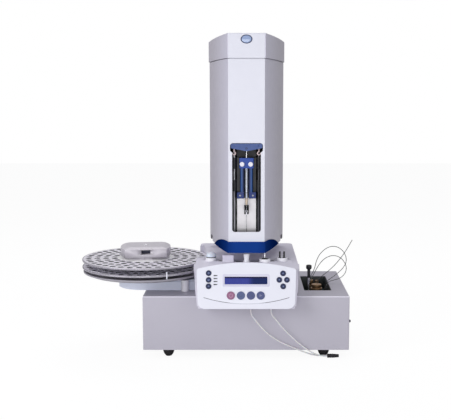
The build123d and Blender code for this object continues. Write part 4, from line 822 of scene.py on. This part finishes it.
# Cup walls round the stations, and grey strips of painted shade on the floor of their channel
turned("cup_walls", "white_plastic", "base", [
    (10.8, 214), (12.15, 214), (12.15, 225.4), (11.9, 226), (11.1, 226), (10.8, 225.6), (10.8, 214),
], WASH, PIN, TWIN, steps=44)
work = bmesh.new()
for start, end in ((-37.5, -36), (-25.4, -22.4), (-9.6, -3.2), (3.2, 10.4), (20.8, 25.4),
                   (36, 37.5)):
    lathe(work, [(136.4, 218.1), (156.6, 218.1), (156.6, 218.5), (136.4, 218.5), (136.4, 218.1)],
          12, upright(0, NEEDLE_ARM, 0) @ turned_by(math.radians(270 + start)),
          math.radians(end - start))
new_piece("channel_shade_strips", work, "lining_grey", "base")

# ---- console, its panel leant back by 17 degrees

TILT = math.radians(17)
PANEL = Matrix((
    (1, 0, 0, AXIS_X),
    (0, math.sin(TILT), -math.cos(TILT), FACE_Y - 0.012),
    (0, math.cos(TILT), math.sin(TILT), 0.221),
    (0, 0, 0, 1)))


def on_panel(across, down, out=0.0):
    """Axes on the keypad panel, in millimetres across and down from its upper edge."""
    return PANEL @ Matrix.Translation(Vector((across, -down, out)) * MM)


def ribbon(work, points, width, low, high, matrix):
    """A thin strip along a line of points in a plane, in millimetres."""
    line = [Vector(p) for p in points]
    rows = []
    for i, here in enumerate(line):
        way = (line[min(i + 1, len(line) - 1)] - line[max(i - 1, 0)]).normalized()
        side = Vector((-way.y, way.x)) * width / 2
        left, right = here + side, here - side
        rows.append([point(work, matrix, p.x, p.y, height) for p, height in (
            (left, low), (left, high), (right, high), (right, low))])
    skin(work, rows)


def solid_between(name, first, second):
    """A closed mesh between two outlines of as many points, in metres."""
    work = bmesh.new()
    skin(work, [[work.verts.new(place) for place in outline] for outline in (first, second)])
    return from_bmesh(name, work)


# Housing: shoulders that rise from the panel's arch to the deck, sides drawn in at the foot
SHOULDER = math.radians(15)
shoulder_way = Vector((0, math.cos(SHOULDER), math.sin(SHOULDER))) * MM
arch_line = [(x, 14.0 * (x / 107.0) ** 2) for x in range(-120, 121, 6)]
arch_line += [(120, -16), (-120, -16)]
near = [on_panel(x, down, -3.0).translation - shoulder_way * 6 for x, down in arch_line]
far = [place + shoulder_way * 96 for place in near]
cutters = [solid_between("shoulders", near, far)]
fillers = []
wedge = [(116, 221.5), (130, 221.5), (130, 112), (105.6, 112)]
corner = arc_points(15.0, 270, 360, 10, (90.0, 128.4))
corner += [(112, 128.4), (112, 110), (90, 110)]
for side in (-1, 1):
    for outline in (wedge, corner):
        cutters.append(solid_between("flank", *(
            [spot(side * x, y, z) for x, z in outline] for y in (-60, 14.2))))
    work = bmesh.new()
    block(work, spot(side * 97 - 12, 15, 190), spot(side * 97 + 12, 46, 219.5), 0.2, 1)
    fillers.append(from_bmesh("filler", work))


FRONT_DEPTH = 14.5  # How far behind the front face the console's front part ends


def margin(start, was, now):
    """Widens the front part past start from the middle, so that its side at was comes to now."""
    def widen(place):
        off = (place.x - AXIS_X) / MM
        if abs(off) <= start or place.y > FACE_Y + FRONT_DEPTH * MM:
            return place.x
        out = start + (abs(off) - start) * (now - start) / (was - start)
        return AXIS_X + math.copysign(out, off) * MM
    return widen


carved("housing_shell", "body_housing", "housing_plastic", "base", fillers, cutters,
       widen=margin(100.0, 116.0, 118.0))
carved("panel_shell", "console_panel", "panel_plastic", "base",
       widen=margin(98.0, 107.0, 109.6))

# Printed marks on the keys, from lines of points and from filled outlines
ARROW = [(0.0, 2.1), (-2.1, -1.3), (0.0, -0.5), (2.1, -1.3)]


def arrow(degrees):
    """A small arrowhead outline, turned from upright."""
    c, s = math.cos(math.radians(degrees)), math.sin(math.radians(degrees))
    return [(x * c - y * s, x * s + y * c) for x, y in ARROW]


MARK_FOOT, MARK_TOP = 1.2, 1.42
for name, width, material, lines, shapes in (
    ("left_upper", 0.9, "mark_dim", [arc_points(1.7, 0, 350)], []),
    ("left_middle", 0.8, "mark_dim", [arc_points(1.9, -230, 50)], [arrow(180)]),
    ("left_lower", 0.8, "mark_dim", [[(-1.9, -1.2), (0, 1.4), (1.9, -1.2)]],
     [polygon(0.8, 12)]),
    ("pad_up", 0.8, "mark_dim", [], [arrow(0)]),
    ("pad_left", 0.8, "mark_dim", [], [arrow(90)]),
    ("pad_right", 0.8, "mark_dim", [], [arrow(-90)]),
    ("pad_down", 0.8, "mark_dim", [], [arrow(180)]),
    ("row_first", 1.0, "mark_red", [arc_points(3.9, 130, 410)],
     [[(-0.6, 1.2), (0.6, 1.2), (0.6, 5), (-0.6, 5)]]),
    ("row_second", 1.3, "mark_soft",
     [[(-4.4, 1), (-1.2, 1)], [(1.2, 1), (4.4, 1)], [(-3, -2.4), (3, -2.4)]], []),
    ("row_third", 1.2, "mark_soft", [arc_points(3.6, -40, 200)],
     [[(2.4, -3.9), (5, -0.6), (0.8, -0.9)]]),
    ("row_fourth", 1.0, "mark_slate", [], [[(-2.6, -3.2), (-2.6, 3.2), (3.4, 0)]]),
):
    name = "button_" + name
    on_key = on_panel(*KEYS[name][:2])
    work = bmesh.new()
    for points in lines:
        ribbon(work, points, width, MARK_FOOT, MARK_TOP, on_key)
    for outline in shapes:
        prism(work, outline, MARK_FOOT, MARK_TOP, on_key)
    new_piece("mark_" + name, work, material, name)

# Colour rings round the dished tops of the keys
for name, (across, down, radius, material) in KEYS.items():
    inner = radius * 0.7
    turned("lip_" + name, material, name, [
        (inner - 0.45, 1.28), (inner - 0.2, 1.36), (inner + 0.05, 1.62), (inner + 0.3, 1.84),
        (inner + 0.7, 1.88), (inner + 0.9, 1.78),
    ], on_panel(across, down), steps=44, sharp=60.0)

# Thin well shades round the keys, where they pass through the panel
work = bmesh.new()
for across, down, radius, material in KEYS.values():
    lathe(work, [
        (radius + 0.32, -0.2), (radius + 0.32, 0.2), (radius + 0.65, 0.34), (radius + 1.2, 0.22),
        (radius + 1.45, -0.05), (radius + 1.4, -0.2),
    ], 44, on_panel(across, down))
new_piece("key_collars", work, "panel_plastic", "base", 60.0)

# Bezel round the display window: height, then half width, half height and corner
work = bmesh.new()
on_screen = on_panel(-1.0, 40.0)
skin(work, [[point(work, on_screen, x, y, height) for x, y in rounded(*size)]
            for height, *size in ((-0.1, 51.5, 13.6, 3), (0.28, 51.2, 13.3, 3),
                                  (0.36, 50.6, 12.7, 2.6), (0.3, 47.6, 9.1, 0.9),
                                  (-0.2, 46.7, 8.3, 0.5), (-0.75, 46.7, 8.3, 0.5))],
     ends=False)
new_piece("screen_bezel", work, "bezel_lilac", "base", 50.0)

# Painted shadow of the panel's groove: a dark strip in it, darker to the sides, on an arc that
# sinks 14 mm over 94 mm to each side
groove_r = (94.0 ** 2 + 14.0 ** 2) / (2 * 14.0)
half_turn = math.degrees(math.asin(93.4 / groove_r))
work = bmesh.new()
ribbon(work, arc_points(groove_r, 270 - half_turn, 270 + half_turn, 60, (0.0, groove_r)), 1.18,
       -0.8, -0.3, on_panel(0.0, 91.0))
new_piece("groove_shadow_strip", work, "groove_shadow_paint", "base", 50.0)

# Status lamps, each a dark lens with a shorter mark beside it
for number, down in enumerate((29.2, 35.8, 42.2, 48.8)):
    blocks("lamp_%d" % number, [
        ((-4, -1.15, 0.2), (0.4, 1.15, 0.9)), ((1, -0.7, 0.2), (3.9 - number % 2, 0.7, 0.75)),
    ], "mark_dark", "base", 0.3, on_panel(-67.7, down))

# ---- carousel

# Painted reflection: a near-white disc at the hub cover's foot stands in for the plate's bright,
# polished middle
turned("cover_disc", "disc_white", "tray", [
    (44.9, 207.5), (64.4, 207.5), (65, 207.7), (65, 208), (64.4, 208.3), (46.4, 208.3),
    (45.6, 208.9), (44.9, 209), (44.9, 207.5),
], TRAY_AXIS, steps=96)
COVER_TURN = turned_by(math.radians(6.6))
carved("cover_shell", "hub_cover", "hub_metal", "tray",
       matrix=TRAY_AXIS @ COVER_TURN @ Matrix.Translation(-tray_spot(0, 0, 0)))
cover_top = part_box("hub_cover")[1].z / MM
turned("cover_screw", "bright_steel", "tray", [
    (3.6, 0), (3.6, 0.5), (3.2, 1.2), (2.2, 1.7), (1.3, 1.9), (1.2, 1.2), (0, 1.2),
], Matrix.Translation(tray_spot(0, -3, cover_top - 0.4)), steps=28)

# Round rims of the two plates and the dish's rolled lip
work = bmesh.new()
lathe(work, [
    (146.2, 203.8), (147, 204.1), (147.35, 205), (147.35, 206.5), (147, 207.4), (146.2, 207.75),
    (145.3, 207.7), (145.2, 207.3),
], 128, TRAY_AXIS)
lathe(work, [
    (146.2, 187.3), (147, 187.6), (147.3, 188.4), (147.3, 189.6), (147, 190.4), (146.2, 190.7),
    (145.3, 190.6), (145.2, 190.2),
], 128, TRAY_AXIS)
new_piece("plate_rims", work, "rim_metal", "tray")
turned("dish_lip", "dish_metal", "tray", [
    (142, 179.6), (143.6, 179.2), (144.7, 178.6), (145.1, 179.4), (144.9, 180.4), (143.8, 180.9),
    (142.2, 180.6), (141.8, 180), (142, 179.6),
], TRAY_AXIS, steps=128)

# Bevelled edges of the vial sockets, on four circles of the upper and the lower plate
SOCKET_RINGS = (133.0, 113.0, 93.0, 73.0)
SOCKET_PITCH = 20.8
SOCKET_R = 6.6
SOCKET_RIM = ((-0.02, -0.9), (-0.1, -0.2), (0.12, 0.12), (0.62, 0.26), (1.02, 0.12),
              (1.1, -0.05))
for name, sides, top in (("sockets_upper", 8, 207.5), ("sockets_lower", 6, 190.5)):
    work = bmesh.new()
    for ring_r in SOCKET_RINGS:
        count = int(2 * math.pi * ring_r / SOCKET_PITCH)
        for i in range(count):
            turn = turned_by(2 * math.pi * i / count)
            socket = TRAY_AXIS @ turn @ Matrix.Translation((ring_r * MM, 0, 0))
            skin(work, [[point(work, socket, x, y, top + height)
                         for x, y in polygon(SOCKET_R + grow, sides)]
                        for grow, height in SOCKET_RIM], ends=False)
    new_piece(name, work, "socket_metal", "tray", 25.0)

# White marker strip on the plates' rim, 3 mm wide
work = bmesh.new()
marker_turn = math.atan2(-134.0, 60.4)
half = 1.5 / 147.3
lathe(work, [
    (147.35, 182), (148.1, 182.3), (148.25, 183), (148.25, 197), (148.1, 197.7), (147.35, 198),
], 4, TRAY_AXIS @ turned_by(marker_turn - half), 2 * half)
new_piece("marker_strip", work, "panel_plastic", "tray", 50.0)

# Painted shade in the cover's finger slot: a dark block inside it
blocks("slot_shade", [((-10.1, -4.9, 0.6), (10.1, 4.9, 1.4))], "mark_hole", "tray", 0.5,
       TRAY_AXIS @ COVER_TURN @ Matrix.Translation(Vector((0, -34, 226.5)) * MM)
       @ Matrix.Rotation(math.radians(90), 4, "X"))

# ---- valve bay

HEAD_X, HEAD_Y = 166, 140
LEAN = math.radians(62)
NUT_CIRCLE = 14.48
work = bmesh.new()
for index in range(6):
    turn = math.radians(30 + 60 * index)
    c, s = math.cos(turn), math.sin(turn)
    way = (math.cos(LEAN) * c, math.cos(LEAN) * s, math.sin(LEAN))
    foot = spot(HEAD_X + NUT_CIRCLE * c, HEAD_Y + NUT_CIRCLE * s, 112)
    nut = facing_way(foot, way)
    prism(work, polygon(3.6, 6), 1.2, 6.2, nut, 0.35)
    lathe(work, [(3.4, -0.4), (3.4, 1.2), (2.4, 1.2), (2.4, 0.9)], 24, nut)
    knurled(work, [(2.4, 6.2), (2.75, 6.6), (2.75, 10.9), (2.3, 11.7), (1.2, 12)], nut, 24, 0.16)
nuts = new_piece("valve_fittings", work, "steel", "base")
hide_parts("valve_nuts")

# Bay walls' lining, hung from the cover round the opening
blocks("bay_lining", [
    ((132.2, 62.2, 102), (133.2, 226.8, 140.2)), ((193.3, 62.2, 102), (194.3, 226.8, 140.2)),
    ((132.2, 62.2, 102), (194.3, 63.2, 140.2)), ((132.2, 225.8, 102), (194.3, 226.8, 140.2)),
], "bay_liner", "base", 0.3)

# A small board and a connector behind the valve
blocks("bay_board", [
    ((136, 176, 104.5), (190, 222, 106.2)), ((139, 180, 106), (150, 196, 111)),
    ((153, 181, 106), (162, 192, 109)), ((139, 203, 106), (147, 218, 110)),
    ((166, 200, 106), (172, 206, 112)), ((176, 200, 106), (182, 206, 112)),
    ((152, 206, 106), (162, 212, 108)),
], "board_green", "base", 0.4)
blocks("bay_connector", [
    ((176, 180, 106), (188, 196, 116)), ((178, 182, 115.6), (186, 184, 118)),
    ((178, 187, 115.6), (186, 189, 118)), ((178, 192, 115.6), (186, 194, 118)),
], "teal_plastic", "base", 0.4)
screws("plate_screws", "steel", "base", 2.6, 1.8,
       *(upright(x, y, 102) for y in (98, 158) for x in (133, 184)))
turned("head_ring", "bronze", "base", [
    (0, 115.6), (9.2, 115.6), (9.6, 116.2), (9.6, 121), (8.4, 122), (8.4, 124.4), (13.6, 125.6),
    (14.2, 126.4), (14.2, 131), (13.4, 131.8), (10.6, 132.2), (10.6, 133.4), (12, 134.2),
    (12, 139.4), (11, 140.4), (3.2, 140.6), (2.6, 138.6), (0, 138.4),
], upright(HEAD_X, HEAD_Y, 0))

# Two unions that stand behind the valve
work = bmesh.new()
for x, y, grow in ((158, 199, 1.0), (171, 193, 0.86)):
    lathe(work, [
        (0, 106), (4.4, 106), (4.4, 112), (3.4, 112.6), (3.4, 118), (5.4 * grow, 118.8),
        (5.4 * grow, 126), (4, 127), (4, 128.6), (5.2 * grow, 129.4), (5.2 * grow, 137.6),
        (4.4, 138.6), (1.4, 138.8), (1.2, 136), (0, 136),
    ], 12, upright(x, y, 0))
new_piece("bay_unions", work, "bronze", "base", 20.0)
turned("head_screws", "steel", "base", [
    (0, 0), (1.9, 0), (1.9, 2.6), (1.5, 3), (1.1, 3), (1, 1.8), (0, 1.8),
], *(upright(HEAD_X + x, HEAD_Y + y, 110.2) for x, y in arc_points(17.6, 60, 300, 2)), steps=24)

# Port: knurled knob with a funnel mouth over the steel stem
PORT = Matrix.Translation(on_circle(146.0))
work = bmesh.new()
knurled(work, [
    (3.4, 160.9), (3.6, 161.4), (3.6, 180.2), (4.6, 181), (5.8, 181.8), (6.6, 183.6), (6.6, 188.4),
    (6, 190.4), (5, 191), (3.4, 191), (1.6, 187.6),
], PORT, 36, 0.2)
port_knob = new_piece("port_knob", work, "black_plastic", "base")
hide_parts("port_cap")
turned("port_nut", "turned_steel", "base", [
    (2.5, 118), (4, 118), (4.2, 118.4), (4.2, 122.6), (3.8, 123.2), (2.5, 123.4),
], PORT, steps=6, sharp=20.0)

# ---- box

work = bmesh.new()
for side, x in ((-1, -231), (1, 229)):
    for y in (60, 230):
        cross_screw(work, facing_way(spot(x, y, 85), (side, 0, 0)), 3.4, 3.4)
cross_screw(work, facing_way(spot(229, 14, 82.7), (1, 0, 0)), 3.2, 4.4)
box_screws = new_piece("box_screws", work, "dark_plastic", "base")
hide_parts("cover_screws")

# Rear panel: its screws and the inlet's contacts
screws("rear_screws", "dark_plastic", "base", 2.6, 1.4,
       *(facing_way(spot(x, 290, z), (0, 1, 0)) for x in (-222, -74, 74, 218) for z in (30, 132)))
blocks("inlet_contacts", [
    ((-153.6, 276, 58.6), (-151.6, 288, 63.4)), ((-157.4, 276, 50.6), (-155.4, 288, 55.4)),
    ((-144.6, 276, 50.6), (-142.6, 288, 55.4)),
], "brass", "base", 0.4)


# ---- floor, lights and camera

def backdrop(owner, output, share, shader, hidden, shown):
    """One look for the camera, also through glass, and another for the light that it gives."""
    made = Nodes(owner)
    made.tree.nodes.clear()
    path = made.node("ShaderNodeLightPath").outputs
    seen = made.maths("MAXIMUM", path["Is Camera Ray"], path["Is Transmission Ray"])
    mixed = made.node("ShaderNodeMixShader", {
        0: made.maths("MULTIPLY", seen, share),
        1: made.node(*hidden).outputs[0],
        2: made.node(shader, shown).outputs[0]})
    made.node(output, {0: mixed.outputs[0]})


FLOOR_HALF = 6.0
floor_mesh = bpy.data.meshes.new("floor")
floor_mesh.from_pydata([(x * FLOOR_HALF, y * FLOOR_HALF, 0) for x, y in (
    (-1, -1), (1, -1), (1, 1), (-1, 1))], [], [(0, 1, 2, 3)])
floor = linked("floor", floor_mesh)
floor_paint = bpy.data.materials.new("floor_paint")
backdrop(floor_paint, "ShaderNodeOutputMaterial", 0.91, "ShaderNodeEmission",
         ("ShaderNodeBsdfDiffuse", {"Color": (0.86, 0.86, 0.87, 1)}),
         {"Color": (1, 1, 1, 1), "Strength": 1.03})
floor_mesh.materials.append(floor_paint)

world = bpy.data.worlds.new("studio")
bpy.context.scene.world = world
backdrop(world, "ShaderNodeOutputWorld", 1.0, "ShaderNodeBackground",
         ("ShaderNodeBackground", {"Color": (0.97, 0.97, 1.0, 1), "Strength": 0.42}),
         {"Color": (1, 1, 1, 1), "Strength": 1.0})

for name, place, target, width, height, power in (
    ("key_left", (-1.9, -1.7, 1.25), (0, 0, 0.3), 1.4, 1.4, 30),
    ("fill_right", (1.9, -1.5, 0.9), (0, 0, 0.3), 1.2, 1.2, 6),
    ("front_low", (-0.1, -2.7, 0.42), (0, 0, 0.35), 1.6, 0.7, 14),
    ("top_back", (0.1, 0.9, 1.9), (0, 0, 0.3), 1.4, 1.0, 12),
):
    lamp = bpy.data.lights.new(name, "AREA")
    lamp.shape = "RECTANGLE"
    lamp.size = width
    lamp.size_y = height
    lamp.energy = power
    softbox = linked(name, lamp)
    softbox.location = place
    softbox.rotation_euler = (Vector(target) - Vector(place)).to_track_quat("-Z", "Y").to_euler()

# The photograph's camera, in pixels: width, focal length, middle column, and how far the
# horizon is above the middle row
PHOTO_W = 451
FOCAL_PX = 880.0
PRINCIPAL_X = 246.5
HORIZON_PX = 110
camera_data = bpy.data.cameras.new("photo_camera")
camera_data.sensor_width = 36.0
camera_data.lens = FOCAL_PX / PHOTO_W * camera_data.sensor_width
camera_data.shift_x = (PHOTO_W / 2 - PRINCIPAL_X) / PHOTO_W
camera = linked("photo_camera", camera_data)
camera.location = spot(0, -1912, 574)
camera.rotation_euler = (math.radians(90) - math.atan(HORIZON_PX / FOCAL_PX), 0, 0)
bpy.context.scene.camera = camera
bpy.context.scene.view_settings.view_transform = "Standard"
